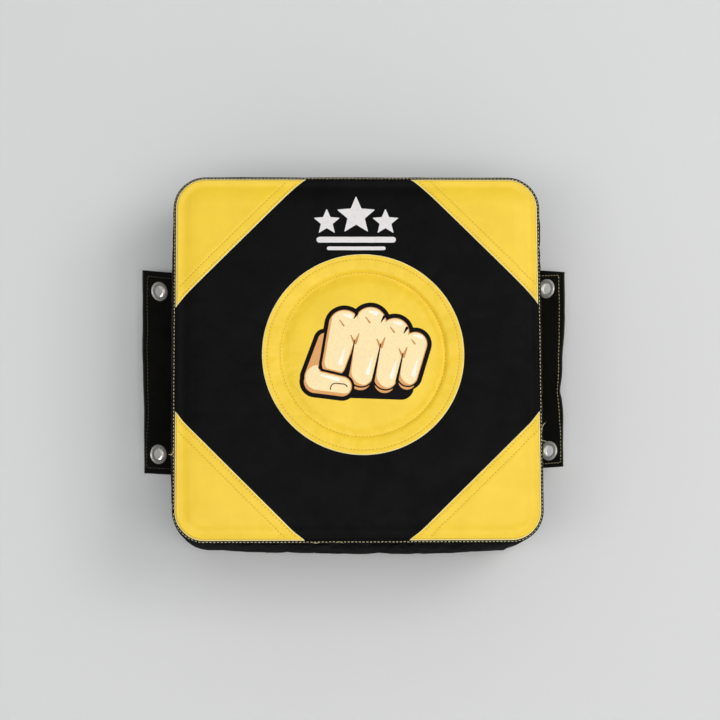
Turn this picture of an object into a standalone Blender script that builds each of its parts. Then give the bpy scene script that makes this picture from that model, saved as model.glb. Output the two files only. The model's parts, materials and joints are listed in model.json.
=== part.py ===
"""A square, wall-mounted striking pad: a foam block in a sewn leatherette cover with two screw-down side flaps.

The pad stands upright. +X is to the right as one faces it, +Y goes into the wall and +Z is up.
The origin is the centre of the back, on the wall's plane. All lengths are in metres.
"""

import math

import bmesh
import bpy
from mathutils import Matrix, Vector

# The whole pad
FACE_SIZE = 0.400  # across the sewn lips of the striking face, both ways
DEPTH = 0.148  # from the wall to the front of the sewn-on patches
CORNER_RADIUS = 0.035  # of the striking face's outline
CORNER_STEPS = 6
PLY = 0.0010  # one thickness of leatherette
GAP = 0.0003  # between pieces that lie on each other

# The striking face
LIP_WIDTH = 0.0045
LIP_THICKNESS = 0.0025
SHOULDER = 0.0045  # rounding where the face turns down to the lip
PATCH_LEG = 0.147  # of a corner patch, along the square's side
TARGET_RADIUS = 0.1095
TARGET_X = 0.006
TARGET_Z = 0.004

# The side band
BAND_INSET = 0.0010  # of the band's outside from the lips' outer edge
BAND_SEAM_Z = -0.160  # height of the seams between the upper and the bottom strip
VENT_COUNT = 13
VENT_PITCH = 0.023
VENT_RADIUS = 0.0015

# The foam, from the front
QUILT_THICKNESS = 0.0054
STRIKE_FOAM_THICKNESS = 0.025
CORE_FOAM_THICKNESS = 0.070

# The flaps, which fold about the rear seam
FLAP_WIDTH = 0.050
FLAP_HEIGHT = 0.234
FLAP_CORNER_RADIUS = 0.002
FLAP_ROOT = 0.0010  # from the fold line to the edge of the plies
FOLD_X = 0.2020
FOLD_Y = -0.0035
LEFT_TILT_DEG = 37  # forward of the wall's plane, as the flap stands at rest
RIGHT_TILT_DEG = 41
LEFT_FLAP_Z = 0.0
RIGHT_FLAP_Z = 0.003
GROMMET_FROM_FOLD = 0.0255
GROMMET_SPACING = 0.186
GROMMET_HOLE_RADIUS = 0.0060
GROMMET_WALL = 0.00045
GROMMET_FLANGE_RADIUS = 0.0110
GROMMET_FLANGE_THICKNESS = 0.0009
WASHER_RADIUS = 0.0105
TURNED_STEPS = 24

# The zip in the back, closed, with its slider at the top
ZIP_X = 0.080
ZIP_LENGTH = 0.296
SLOT_HALF_WIDTH = 0.0070
SLOT_END_MARGIN = 0.006
FACING_DEPTH = 0.0055  # how far the slot's turned-in edges reach into the pad
TAPE_WIDTH = 0.0127
TAPE_THICKNESS = 0.0006
CHAIN_WIDTH = 0.0061
CHAIN_THICKNESS = 0.0020
STOP_HEIGHT = 0.0025
SLIDER_WIDTH = 0.0090
SLIDER_HEIGHT = 0.0120
SLIDER_PLATE = 0.0012
SLIDER_FROM_STOP = 0.0040
PULL_LENGTH = 0.0150
PULL_WIDTH = 0.0060
PULL_THICKNESS = 0.0007

# Heights in the stack of layers, which follow from the sizes above
HALF = FACE_SIZE / 2
FRONT_Y = -DEPTH
PANEL_FRONT_Y = FRONT_Y + PLY + GAP
QUILT_FRONT_Y = PANEL_FRONT_Y + PLY + GAP
RIM_Y = QUILT_FRONT_Y + QUILT_THICKNESS
STRIKE_FRONT_Y = RIM_Y + GAP
CORE_FRONT_Y = STRIKE_FRONT_Y + STRIKE_FOAM_THICKNESS + GAP
REBOUND_FRONT_Y = CORE_FRONT_Y + CORE_FOAM_THICKNESS + GAP
FOAM_BACK_Y = -PLY - GAP
PATCH_HALF = HALF - LIP_WIDTH - GAP
PANEL_HALF = PATCH_HALF - PLY - GAP
BAND_HALF = HALF - BAND_INSET
FOAM_HALF = BAND_HALF - PLY - GAP
REAR_SEAM_BACK_Y = -0.0005
REAR_SEAM_FRONT_Y = -0.0030
BAND_BACK_Y = REAR_SEAM_FRONT_Y - GAP
TAPE_FRONT_Y = -FACING_DEPTH - GAP - TAPE_THICKNESS
TAPE_BACK_Y = -FACING_DEPTH - GAP
CHAIN_FRONT_Y = (TAPE_FRONT_Y + TAPE_BACK_Y - CHAIN_THICKNESS) / 2
CHAIN_BACK_Y = CHAIN_FRONT_Y + CHAIN_THICKNESS
SLIDER_BACK_Y = CHAIN_BACK_Y + GAP + SLIDER_PLATE
SLOT_HALF_HEIGHT = ZIP_LENGTH / 2 + SLOT_END_MARGIN
SLIDER_Z = ZIP_LENGTH / 2 - SLIDER_FROM_STOP - SLIDER_HEIGHT / 2
PULL_AXIS_Y = SLIDER_BACK_Y + 0.00055

BLACK = ("black_leatherette", (0.012, 0.012, 0.011), 0.62, 0.0)
YELLOW = ("yellow_leatherette", (0.89, 0.61, 0.055), 0.60, 0.0)
NICKEL = ("nickel_plate", (0.78, 0.77, 0.75), 0.25, 1.0)
ZIP_TAPE = ("zip_tape", (0.015, 0.015, 0.016), 0.9, 0.0)
ZIP_CHAIN = ("zip_chain", (0.02, 0.02, 0.022), 0.45, 0.0)
QUILT_FOAM = ("quilt_foam", (0.82, 0.80, 0.72), 0.95, 0.0)
STRIKE_FOAM = ("strike_foam", (0.10, 0.10, 0.11), 0.9, 0.0)
CORE_FOAM = ("core_foam", (0.70, 0.62, 0.36), 0.95, 0.0)
REBOUND_FOAM = ("rebound_foam", (0.86, 0.87, 0.88), 0.9, 0.0)


def clear_scene():
    for obj in list(bpy.data.objects):
        bpy.data.objects.remove(obj)


def new_collection(name):
    collection = bpy.data.collections.new(name)
    bpy.context.scene.collection.children.link(collection)
    return collection


def material(spec):
    name, colour, roughness, metallic = spec
    found = bpy.data.materials.get(name)
    if found:
        return found
    made = bpy.data.materials.new(name)
    made.use_nodes = True
    shader = made.node_tree.nodes["Principled BSDF"]
    shader.inputs["Base Color"].default_value = (*colour, 1.0)
    shader.inputs["Roughness"].default_value = roughness
    shader.inputs["Metallic"].default_value = metallic
    return made


def add_part(name, mesh, finish, parent=None, location=(0, 0, 0), rotation=(0, 0, 0)):
    mesh.materials.clear()
    mesh.materials.append(material(finish))
    obj = bpy.data.objects.new(name, mesh)
    obj.location = location
    obj.rotation_euler = rotation
    obj.parent = parent
    PARTS.objects.link(obj)
    return obj


def add_helper(name, mesh, parent=None):
    obj = bpy.data.objects.new(name, mesh)
    obj.hide_render = True
    obj.display_type = "WIRE"
    obj.parent = parent
    CUTTERS.objects.link(obj)
    return obj


def add_empty(name, location, rotation=(0, 0, 0), parent=None):
    empty = bpy.data.objects.new(name, None)
    empty.location = location
    empty.rotation_euler = rotation
    empty.parent = parent
    PARTS.objects.link(empty)
    return empty


def add_boolean(obj, other, operation):
    modifier = obj.modifiers.new(operation.title() + "_" + other.name, "BOOLEAN")
    modifier.operation = operation
    modifier.solver = "EXACT"
    modifier.object = other


def finish_mesh(bm, name):
    mesh = bpy.data.meshes.new(name)
    bm.to_mesh(mesh)
    bm.free()
    return mesh


def arc(centre_x, centre_z, radius, start_deg, end_deg, steps):
    for i in range(steps + 1):
        a = math.radians(start_deg + (end_deg - start_deg) * i / steps)
        yield centre_x + radius * math.cos(a), centre_z + radius * math.sin(a)


def rounded_rectangle(low_x, high_x, low_z, high_z, radius, steps):
    points = []
    for x, z, start in (
        (high_x - radius, high_z - radius, 0),
        (low_x + radius, high_z - radius, 90),
        (low_x + radius, low_z + radius, 180),
        (high_x - radius, low_z + radius, 270),
    ):
        points += arc(x, z, radius, start, start + 90, steps)
    return points


def pad_outline(half):
    """The pad's rounded square, moved in from the lips' outer edge to the given half width."""
    radius = CORNER_RADIUS - (HALF - half)
    return rounded_rectangle(-half, half, -half, half, radius, CORNER_STEPS)


def circle(centre_x, centre_z, radius):
    return list(arc(centre_x, centre_z, radius, 0, 360, TURNED_STEPS))[:-1]


def plate_mesh(name, outlines, front_y, back_y):
    """A flat plate between two depths; outlines after the first are its holes."""
    curve = bpy.data.curves.new(name, "CURVE")
    curve.dimensions = "2D"
    curve.fill_mode = "BOTH"
    curve.extrude = (back_y - front_y) / 2
    for points in outlines:
        spline = curve.splines.new("POLY")
        spline.points.add(len(points) - 1)
        for point, (x, z) in zip(spline.points, points):
            point.co = (x, z, 0, 1)
        spline.use_cyclic_u = True
    flat = bpy.data.objects.new(name + "_outline", curve)
    PARTS.objects.link(flat)
    mesh = bpy.data.meshes.new_from_object(
        flat.evaluated_get(bpy.context.evaluated_depsgraph_get())
    )
    bpy.data.objects.remove(flat)
    bm = bmesh.new()
    bm.from_mesh(mesh)
    bmesh.ops.remove_doubles(bm, verts=bm.verts, dist=1e-5)
    upright = Matrix.Translation((0, (front_y + back_y) / 2, 0))
    upright = upright @ Matrix.Rotation(math.pi / 2, 4, "X")
    bmesh.ops.transform(bm, matrix=upright, verts=bm.verts)
    bmesh.ops.recalc_face_normals(bm, faces=bm.faces)
    return finish_mesh(bm, name)


def box_mesh(name, low, high, turn=None):
    low, high = Vector(low), Vector(high)
    bm = bmesh.new()
    bmesh.ops.create_cube(bm, size=1.0)
    place = Matrix.LocRotScale((low + high) / 2, None, high - low)
    if turn is not None:
        place = turn @ place
    bmesh.ops.transform(bm, matrix=place, verts=bm.verts)
    return finish_mesh(bm, name)


def bevel(obj, width, segments=1):
    modifier = obj.modifiers.new("Bevel", "BEVEL")
    modifier.width = width
    modifier.segments = segments
    modifier.limit_method = "ANGLE"
    modifier.angle_limit = math.radians(50)


def add_tray(name, half, front_y, finish):
    """The face's skin: a flat front whose edge rounds over and runs back to the rim."""
    bm = bmesh.new()
    corners = [bm.verts.new((x, front_y, z)) for x, z in pad_outline(half)]
    front = bm.faces.new(corners)
    walls = bmesh.ops.extrude_edge_only(bm, edges=front.edges[:])["geom"]
    back = [v for v in walls if isinstance(v, bmesh.types.BMVert)]
    bmesh.ops.translate(bm, vec=(0, RIM_Y - front_y, 0), verts=back)
    bmesh.ops.recalc_face_normals(bm, faces=bm.faces)
    if front.normal.y > 0:
        bmesh.ops.reverse_faces(bm, faces=bm.faces)
    obj = add_part(name, finish_mesh(bm, name), finish)
    bevel(obj, SHOULDER, segments=3)
    skin = obj.modifiers.new("Solidify", "SOLIDIFY")
    skin.thickness = PLY
    skin.offset = -1
    skin.use_even_offset = True
    return obj


def make_striking_face():
    add_tray("front_panel", PANEL_HALF, PANEL_FRONT_Y, BLACK)
    for side_x, side_z, name in (
        (-1, 1, "corner_patch_top_left"),
        (1, 1, "corner_patch_top_right"),
        (-1, -1, "corner_patch_bottom_left"),
        (1, -1, "corner_patch_bottom_right"),
    ):
        patch = add_tray(name, PATCH_HALF, FRONT_Y, YELLOW)
        edge = (FACE_SIZE - PATCH_LEG) / math.sqrt(2)  # from the pad's centre line
        towards = math.atan2(side_z, side_x)
        corner_box = box_mesh(
            name + "_corner",
            (edge, 2 * FRONT_Y, -HALF),
            (edge + HALF, 0, HALF),
            Matrix.Rotation(-towards, 4, "Y"),
        )
        add_boolean(patch, add_helper(name + "_corner", corner_box), "INTERSECT")
    disc = plate_mesh(
        "target_patch",
        [circle(TARGET_X, TARGET_Z, TARGET_RADIUS)],
        FRONT_Y,
        FRONT_Y + PLY,
    )
    add_part("target_patch", disc, YELLOW)
    lip = plate_mesh(
        "front_lip",
        [pad_outline(HALF), pad_outline(HALF - LIP_WIDTH)],
        RIM_Y - LIP_THICKNESS,
        RIM_Y,
    )
    bevel(add_part("front_lip", lip, BLACK), 0.0006)


def make_side_band():
    ring = [pad_outline(BAND_HALF), pad_outline(BAND_HALF - PLY)]
    wide = HALF * 1.1
    for name, low_z, high_z in (
        ("side_band_upper", BAND_SEAM_Z + GAP, wide),
        ("side_band_bottom", -wide, BAND_SEAM_Z),
    ):
        mesh = plate_mesh(name, ring, STRIKE_FRONT_Y, BAND_BACK_Y)
        strip = add_part(name, mesh, BLACK)
        keep = box_mesh(name + "_reach", (-wide, -DEPTH, low_z), (wide, 0, high_z))
        add_boolean(strip, add_helper(name + "_reach", keep), "INTERSECT")
    vents = bmesh.new()
    for i in range(VENT_COUNT):
        x = (i - (VENT_COUNT - 1) / 2) * VENT_PITCH
        bmesh.ops.create_cone(
            vents,
            cap_ends=True,
            segments=10,
            radius1=VENT_RADIUS,
            radius2=VENT_RADIUS,
            depth=0.01,
            matrix=Matrix.Translation((x, -DEPTH / 2, -BAND_HALF)),
        )
    punch = add_helper("vent_punches", finish_mesh(vents, "vent_punches"))
    add_boolean(strip, punch, "DIFFERENCE")
    bead = plate_mesh(
        "rear_seam_bead",
        [pad_outline(HALF), pad_outline(BAND_HALF - PLY)],
        REAR_SEAM_FRONT_Y,
        REAR_SEAM_BACK_Y,
    )
    bevel(add_part("rear_seam_bead", bead, BLACK), 0.0005)


def make_foam(zip_line):
    for name, half, front_y, back_y, finish in (
        ("quilt_foam", PANEL_HALF - SHOULDER, QUILT_FRONT_Y, RIM_Y, QUILT_FOAM),
        ("strike_foam", FOAM_HALF, STRIKE_FRONT_Y, CORE_FRONT_Y - GAP, STRIKE_FOAM),
        ("core_foam", FOAM_HALF, CORE_FRONT_Y, REBOUND_FRONT_Y - GAP, CORE_FOAM),
        ("rebound_foam", FOAM_HALF, REBOUND_FRONT_Y, FOAM_BACK_Y, REBOUND_FOAM),
    ):
        slab = add_part(
            name, plate_mesh(name, [pad_outline(half)], front_y, back_y), finish
        )
    channel = box_mesh(
        "zip_channel",
        (-TAPE_WIDTH - 0.0045, CHAIN_FRONT_Y - 0.0025, -SLOT_HALF_HEIGHT - 0.0015),
        (TAPE_WIDTH + 0.0045, 0.001, SLOT_HALF_HEIGHT + 0.0015),
    )
    channel = add_helper("zip_channel", channel, zip_line)
    add_boolean(slab, channel, "DIFFERENCE")


def make_back(zip_line):
    slot = box_mesh(
        "zip_slot",
        (-SLOT_HALF_WIDTH, -0.01, -SLOT_HALF_HEIGHT),
        (SLOT_HALF_WIDTH, 0.01, SLOT_HALF_HEIGHT),
    )
    slot = add_helper("zip_slot", slot, zip_line)
    for side, name in ((-1, "back_panel_left"), (1, "back_panel_right")):
        panel = add_part(
            name, plate_mesh(name, [pad_outline(FOAM_HALF)], -PLY, 0), BLACK
        )
        x_limits = sorted((side * GAP / 2, side * FACE_SIZE))
        keep = box_mesh(
            name + "_side", (x_limits[0], -0.01, -HALF), (x_limits[1], 0.01, HALF)
        )
        keep = add_helper(name + "_side", keep, zip_line)
        add_boolean(panel, keep, "INTERSECT")
        x_limits = sorted(
            (side * (SLOT_HALF_WIDTH - 0.001), side * (SLOT_HALF_WIDTH + PLY))
        )
        facing = box_mesh(
            name + "_facing",
            (x_limits[0], -FACING_DEPTH, -SLOT_HALF_HEIGHT + 0.001),
            (x_limits[1], -PLY / 2, SLOT_HALF_HEIGHT - 0.001),
        )
        facing = add_helper(name + "_facing", facing, zip_line)
        add_boolean(panel, facing, "UNION")
        add_boolean(panel, slot, "DIFFERENCE")


def make_zip(zip_line):
    for side, word in ((-1, "left"), (1, "right")):
        inner = side * (CHAIN_WIDTH / 2 + GAP)
        x_limits = sorted((inner, inner + side * TAPE_WIDTH))
        tape = box_mesh(
            "zip_tape_" + word,
            (x_limits[0], TAPE_FRONT_Y, -SLOT_HALF_HEIGHT),
            (x_limits[1], TAPE_BACK_Y, SLOT_HALF_HEIGHT),
        )
        add_part("zip_tape_" + word, tape, ZIP_TAPE, zip_line)
        x_limits = sorted((side * GAP / 2, side * CHAIN_WIDTH / 2))
        chain = box_mesh(
            "zip_chain_" + word,
            (x_limits[0], CHAIN_FRONT_Y, -ZIP_LENGTH / 2),
            (x_limits[1], CHAIN_BACK_Y, ZIP_LENGTH / 2),
        )
        bevel(add_part("zip_chain_" + word, chain, ZIP_CHAIN, zip_line), 0.0004)
    for side, word in ((1, "top"), (-1, "bottom")):
        inner = side * (ZIP_LENGTH / 2 + GAP)
        z_limits = sorted((inner, inner + side * STOP_HEIGHT))
        stop = box_mesh(
            "zip_stop_" + word,
            (-CHAIN_WIDTH / 2, CHAIN_FRONT_Y, z_limits[0]),
            (CHAIN_WIDTH / 2, CHAIN_BACK_Y, z_limits[1]),
        )
        bevel(add_part("zip_stop_" + word, stop, NICKEL, zip_line), 0.0003)


def make_slider(zip_line):
    """The slider's two plates; the outer one has the bridge that the pull hangs from."""
    half_width, half_height = SLIDER_WIDTH / 2, SLIDER_HEIGHT / 2
    travel = add_empty("slider_travel", (0, SLIDER_BACK_Y, SLIDER_Z), parent=zip_line)
    outer = box_mesh(
        "slider_outer",
        (-half_width, -SLIDER_PLATE, -half_height),
        (half_width, 0, half_height),
    )
    outer = add_part("zip_slider_outer", outer, NICKEL, parent=travel)
    # The bridge is a bar on two posts, with room under it for the pull's crossbar to turn.
    for post_z, name in ((0.0034, "bridge_post_top"), (-0.0034, "bridge_post_low")):
        post = box_mesh(
            name,
            (-0.0008, -0.0005, post_z - 0.0006),
            (0.0008, 0.0017, post_z + 0.0006),
        )
        add_boolean(outer, add_helper(name, post, travel), "UNION")
    bar = box_mesh("bridge_bar", (-0.001, 0.0012, -0.0043), (0.001, 0.0021, 0.0043))
    add_boolean(outer, add_helper("bridge_bar", bar, travel), "UNION")
    inner_back = -SLIDER_PLATE - 2 * GAP - CHAIN_THICKNESS
    inner = box_mesh(
        "slider_inner",
        (-half_width, inner_back - SLIDER_PLATE, -half_height),
        (half_width, inner_back, half_height),
    )
    inner = add_part("zip_slider_inner", inner, NICKEL, parent=travel)
    bevel(inner, 0.0003)


def make_pull(zip_line):
    """A tab with a window; the window's top edge is the crossbar that turns under the slider's bridge."""
    half, window, bar = PULL_WIDTH / 2, 0.0016, PULL_THICKNESS / 2
    outline = rounded_rectangle(-half, half, -PULL_LENGTH, bar, 0.00034, 2)
    hole = rounded_rectangle(-window, window, -0.0070, -bar, 0.0003, 2)
    mesh = plate_mesh("zip_pull", [outline, hole], -bar, bar)
    add_part("zip_pull", mesh, NICKEL, zip_line, (0, PULL_AXIS_Y, SLIDER_Z))


def grommet_mesh(flap_half_thickness):
    """Flange and barrel in one turned piece, its axis on Z and its flange at the top."""
    hole, barrel = GROMMET_HOLE_RADIUS, GROMMET_HOLE_RADIUS + GROMMET_WALL
    seat = flap_half_thickness + GAP
    top = seat + GROMMET_FLANGE_THICKNESS
    end = -top + 0.0002
    profile = [
        (GROMMET_FLANGE_RADIUS - 0.0016, top),
        (GROMMET_FLANGE_RADIUS - 0.0004, top - 0.0003),
        (GROMMET_FLANGE_RADIUS, seat),
        (barrel, seat),
        (barrel, end),
        (hole, end),
        (hole, top - 0.0006),
        (hole + 0.0006, top - 0.0001),
    ]
    return turned_mesh("grommet", profile)


def washer_mesh():
    """The ring behind the flap that the barrel is set into, its flat outer face at the bottom."""
    thick = GROMMET_FLANGE_THICKNESS
    hole = GROMMET_HOLE_RADIUS + GROMMET_WALL + GAP
    profile = [
        (WASHER_RADIUS - 0.0003, 0),
        (WASHER_RADIUS, -0.0003),
        (WASHER_RADIUS - 0.0003, -thick),
        (hole, -thick),
        (hole, 0),
    ]
    return turned_mesh("washer", profile)


def turned_mesh(name, profile):
    """A closed profile, listed down its outer side and up its inner side."""
    bm = bmesh.new()
    points = [bm.verts.new((r, 0, z)) for r, z in profile]
    for a, b in zip(points, points[1:] + points[:1]):
        bm.edges.new((a, b))
    return finish_mesh(bm, name)


def add_turned(name, mesh, parent, location):
    """The turned piece with its top towards the striking side."""
    obj = add_part(name, mesh, NICKEL, parent, location, (math.pi / 2, 0, 0))
    screw = obj.modifiers.new("Screw", "SCREW")
    screw.axis = "Z"
    screw.angle = 2 * math.pi
    screw.steps = TURNED_STEPS
    screw.render_steps = TURNED_STEPS
    screw.use_merge_vertices = True
    screw.merge_threshold = 0.00001
    screw.use_smooth_shade = True


def make_flap(side, word, tilt_deg, centre_z, grommet, washer):
    """One flap: two plies sewn together, with a grommet and its washer near each end."""
    turn = (0, 0, -side * math.radians(tilt_deg))
    fold = add_empty(word + "_fold", (side * FOLD_X, FOLD_Y, centre_z), turn)
    x_limits = sorted((side * FLAP_ROOT, side * FLAP_WIDTH))
    outline = rounded_rectangle(
        *x_limits, -FLAP_HEIGHT / 2, FLAP_HEIGHT / 2, FLAP_CORNER_RADIUS, 2
    )
    centre_x = side * GROMMET_FROM_FOLD
    hole = GROMMET_HOLE_RADIUS + GROMMET_WALL + GAP
    holes = [
        circle(centre_x, end * GROMMET_SPACING / 2, hole) for end in (1, -1)
    ]
    half_thickness = GAP / 2 + PLY
    for ply, front_y in (("front", -half_thickness), ("rear", GAP / 2)):
        name = f"{word}_flap_{ply}_ply"
        mesh = plate_mesh(name, [outline, *holes], front_y, front_y + PLY)
        add_part(name, mesh, BLACK, parent=fold)
    for end, place in ((1, "top"), (-1, "bottom")):
        z = end * GROMMET_SPACING / 2
        add_turned(f"{word}_{place}_grommet", grommet, fold, (centre_x, 0, z))
        seat_y = half_thickness + GAP
        add_turned(f"{word}_{place}_washer", washer, fold, (centre_x, seat_y, z))


def main():
    make_striking_face()
    make_side_band()
    zip_line = add_empty("zip_line", (ZIP_X, 0, 0))
    make_foam(zip_line)
    make_back(zip_line)
    make_zip(zip_line)
    make_slider(zip_line)
    make_pull(zip_line)
    grommet, washer = grommet_mesh(GAP / 2 + PLY), washer_mesh()
    make_flap(-1, "left", LEFT_TILT_DEG, LEFT_FLAP_Z, grommet, washer)
    make_flap(1, "right", RIGHT_TILT_DEG, RIGHT_FLAP_Z, grommet, washer)


clear_scene()
PARTS = new_collection("wall_striking_pad")
CUTTERS = new_collection("cutters")
main()
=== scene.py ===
"""Looks of a wall-mounted striking pad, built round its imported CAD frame.

The pad hangs on a wall. +X is to the right as one faces it, +Y goes into the wall and +Z is up, in metres.
The stuffed surfaces are sheets of cloth that are blown out by a simulation between their seams. The other
pieces then follow those surfaces: the sewn-on patches, the prints and every row of stitches.
"""

import json
import math

import bmesh
import bpy
import numpy as np
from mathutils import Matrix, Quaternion, Vector, noise


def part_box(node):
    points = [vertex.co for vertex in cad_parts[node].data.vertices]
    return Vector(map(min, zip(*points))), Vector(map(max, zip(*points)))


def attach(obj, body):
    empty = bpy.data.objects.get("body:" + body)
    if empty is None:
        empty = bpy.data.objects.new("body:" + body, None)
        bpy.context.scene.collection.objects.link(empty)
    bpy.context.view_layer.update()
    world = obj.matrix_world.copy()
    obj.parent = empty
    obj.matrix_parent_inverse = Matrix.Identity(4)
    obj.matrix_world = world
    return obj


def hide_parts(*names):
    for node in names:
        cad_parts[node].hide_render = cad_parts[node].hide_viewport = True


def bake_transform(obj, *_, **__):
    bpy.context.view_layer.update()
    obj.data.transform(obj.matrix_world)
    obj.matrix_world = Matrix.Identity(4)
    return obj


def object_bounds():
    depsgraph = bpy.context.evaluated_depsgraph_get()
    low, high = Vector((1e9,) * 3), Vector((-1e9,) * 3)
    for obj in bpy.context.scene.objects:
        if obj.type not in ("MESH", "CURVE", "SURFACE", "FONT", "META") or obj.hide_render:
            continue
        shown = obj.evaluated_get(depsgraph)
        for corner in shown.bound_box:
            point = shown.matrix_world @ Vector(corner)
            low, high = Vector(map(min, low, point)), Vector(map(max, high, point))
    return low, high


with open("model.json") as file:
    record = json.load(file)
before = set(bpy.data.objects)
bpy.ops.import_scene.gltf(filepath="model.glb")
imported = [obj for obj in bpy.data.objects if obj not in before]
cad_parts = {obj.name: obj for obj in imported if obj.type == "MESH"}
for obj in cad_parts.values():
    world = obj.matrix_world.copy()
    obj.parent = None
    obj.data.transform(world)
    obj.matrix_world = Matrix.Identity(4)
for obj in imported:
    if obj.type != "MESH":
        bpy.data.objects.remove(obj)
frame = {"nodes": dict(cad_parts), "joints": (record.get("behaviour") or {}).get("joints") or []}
cad_low, cad_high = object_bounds()

MM = 0.001


def span(node, axis):
    """Lowest and highest coordinate of a CAD node along one axis."""
    low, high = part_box(node)
    return low[axis], high[axis]


# Places read from the frame
X, Y, Z = 0, 1, 2
HALF = span("front_lip", X)[1]
LIP_FRONT, LIP_BACK = span("front_lip", Y)
PANEL_FRONT = span("front_panel", Y)[0]
PATCH_LEG = HALF - span("corner_patch_top_right", X)[0]
TARGET_LOW, TARGET_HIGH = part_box("target_patch")
TARGET_X = (TARGET_LOW.x + TARGET_HIGH.x) / 2
TARGET_Z = (TARGET_LOW.z + TARGET_HIGH.z) / 2
TARGET_RADIUS = (TARGET_HIGH.x - TARGET_LOW.x) / 2
BAND_HALF = span("side_band_upper", X)[1]
BAND_FRONT, BAND_BACK = span("side_band_upper", Y)
BAND_SEAM_Z = span("side_band_bottom", Z)[1]
BEAD_FRONT, BEAD_BACK = span("rear_seam_bead", Y)
BACK_HALF = span("back_panel_right", X)[1]
ZIP_X = (span("zip_chain_left", X)[1] + span("zip_chain_right", X)[0]) / 2

# Sizes that the frame doesn't hold
CORNER_CORE = HALF - 0.035  # half the square on whose corners the rounded corners are centred
PLY = 1.0 * MM
LIP_INNER = span("front_panel", X)[1]  # where the lip begins
PANEL_HALF = HALF - 3.0 * MM  # how far the face's skin bulges out in front of the lip
RING_RADIUS = 89.5 * MM  # of the quilted ring in the target
TARGET_ROW_RADIUS = 104.0 * MM
PATCH_ROWS = (3.0 * MM, 11.5 * MM)  # stitch rows, from a corner patch's long edge
STITCH_PITCH = 4.0 * MM
STITCH_WANDER = 0.12 * MM  # how far a stitch's ends stray to either side
PATCH_STITCH = {"length": 2.1 * MM, "radius": 0.38 * MM}
LIP_STITCH = {"length": 2.6 * MM, "radius": 0.36 * MM}
SEAM_STITCH = {"length": 2.6 * MM, "radius": 0.3 * MM}
FLAP_STITCH = {"length": 3.0 * MM, "radius": 0.36 * MM}
THREAD_TURN = np.linspace(0, 2 * math.pi, 7)[:-1]  # round a thread's section
FORWARD, REARWARD = np.array([0, -1.0, 0]), np.array([0, 1.0, 0])
VENT_COUNT, VENT_PITCH, VENT_RADIUS = 13, 23.0 * MM, 1.5 * MM
FACE_BULGE, UPPER_BULGE, BOTTOM_BULGE = 3.2 * MM, 3.2 * MM, 9 * MM  # where the foam stops the cloth


# ---------------------------------------------------------------- small maths


def smooth(t):
    t = np.clip(t, 0, 1)
    return t * t * (3 - 2 * t)


def hump(t):
    return np.exp(-t * t)


def noise_at(points, size, seed=0.0):
    """Smooth noise between about -1 and 1 whose features are about size across."""
    shift = Vector((seed * 7.31, seed * 3.17, seed * 5.77))
    flat = np.asarray(points, float).reshape(-1, 3) / size
    values = [noise.noise(Vector(p) + shift) for p in flat]
    return np.array(values).reshape(np.asarray(points).shape[:-1])


def catmull_rom(t):
    """Weights of four neighbours for a smooth curve through the middle two."""
    return np.stack(
        [
            -0.5 * t + t**2 - 0.5 * t**3,
            1 - 2.5 * t**2 + 1.5 * t**3,
            0.5 * t + 2 * t**2 - 1.5 * t**3,
            -0.5 * t**2 + 0.5 * t**3,
        ]
    )


class HeightMap:
    """Heights on a regular grid over a centred rectangle, read smoothly at any point."""

    def __init__(self, heights, width, length):
        self.heights = heights
        self.size = (width, length)

    def __call__(self, u, v):
        cell, share = [], []
        for value, size, count in zip((u, v), self.size, self.heights.shape):
            place = np.clip((np.asarray(value) / size + 0.5) * (count - 1), 0, count - 1.001)
            cell.append(place.astype(int))
            share.append(place - place.astype(int))
        rows, columns = catmull_rom(share[0]), catmull_rom(share[1])
        total = np.zeros(np.shape(cell[0]))
        for i in range(4):
            for j in range(4):
                a = np.clip(cell[0] + i - 1, 0, self.heights.shape[0] - 1)
                b = np.clip(cell[1] + j - 1, 0, self.heights.shape[1] - 1)
                total += rows[i] * columns[j] * self.heights[a, b]
        return total


# ---------------------------------------------------------------- cloth

SHEET_PRESSURE = 4.0  # of the foam behind a sheet
SHEET_FRAMES = 20


def blown_sheet(width, length, pitch, held, slack, seed=1):
    """Simulates a flat sheet that is sewn down where held(u, v) is true and pushed out by the foam."""
    nu, nv = round(width / pitch), round(length / pitch)
    u, v = np.meshgrid(
        np.linspace(-width / 2, width / 2, nu + 1),
        np.linspace(-length / 2, length / 2, nv + 1),
        indexing="ij",
    )
    rough = np.random.default_rng(seed).normal(0, 0.05 * MM, u.shape)
    index = np.arange(u.size).reshape(u.shape)
    quads = np.stack([index[:-1, :-1], index[1:, :-1], index[1:, 1:], index[:-1, 1:]], -1)
    mesh = bpy.data.meshes.new("sheet")
    points = np.stack([u, v, rough], -1).reshape(-1, 3)
    mesh.from_pydata(points.tolist(), [], quads.reshape(-1, 4).tolist())
    sheet = bpy.data.objects.new("sheet", mesh)
    bpy.context.scene.collection.objects.link(sheet)
    seam = sheet.vertex_groups.new(name="seam")
    seam.add(np.flatnonzero(held(u, v).ravel()).tolist(), 1.0, "REPLACE")
    cloth = sheet.modifiers.new("Cloth", "CLOTH").settings
    cloth.vertex_group_mass = "seam"
    cloth.mass = 0.01
    cloth.use_pressure = True
    cloth.uniform_pressure_force = SHEET_PRESSURE
    cloth.shrink_min = -slack
    cloth.effector_weights.gravity = 0
    cloth.bending_stiffness = 1.0
    for number in range(1, SHEET_FRAMES + 1):
        bpy.context.scene.frame_set(number)
    settled = sheet.evaluated_get(bpy.context.evaluated_depsgraph_get())
    places = np.zeros(u.size * 3, np.float32)
    settled.data.vertices.foreach_get("co", places)
    bpy.context.scene.frame_set(1)
    bpy.data.objects.remove(sheet)
    return HeightMap(places.reshape(*u.shape, 3)[..., 2].astype(float), width, length)


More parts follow.
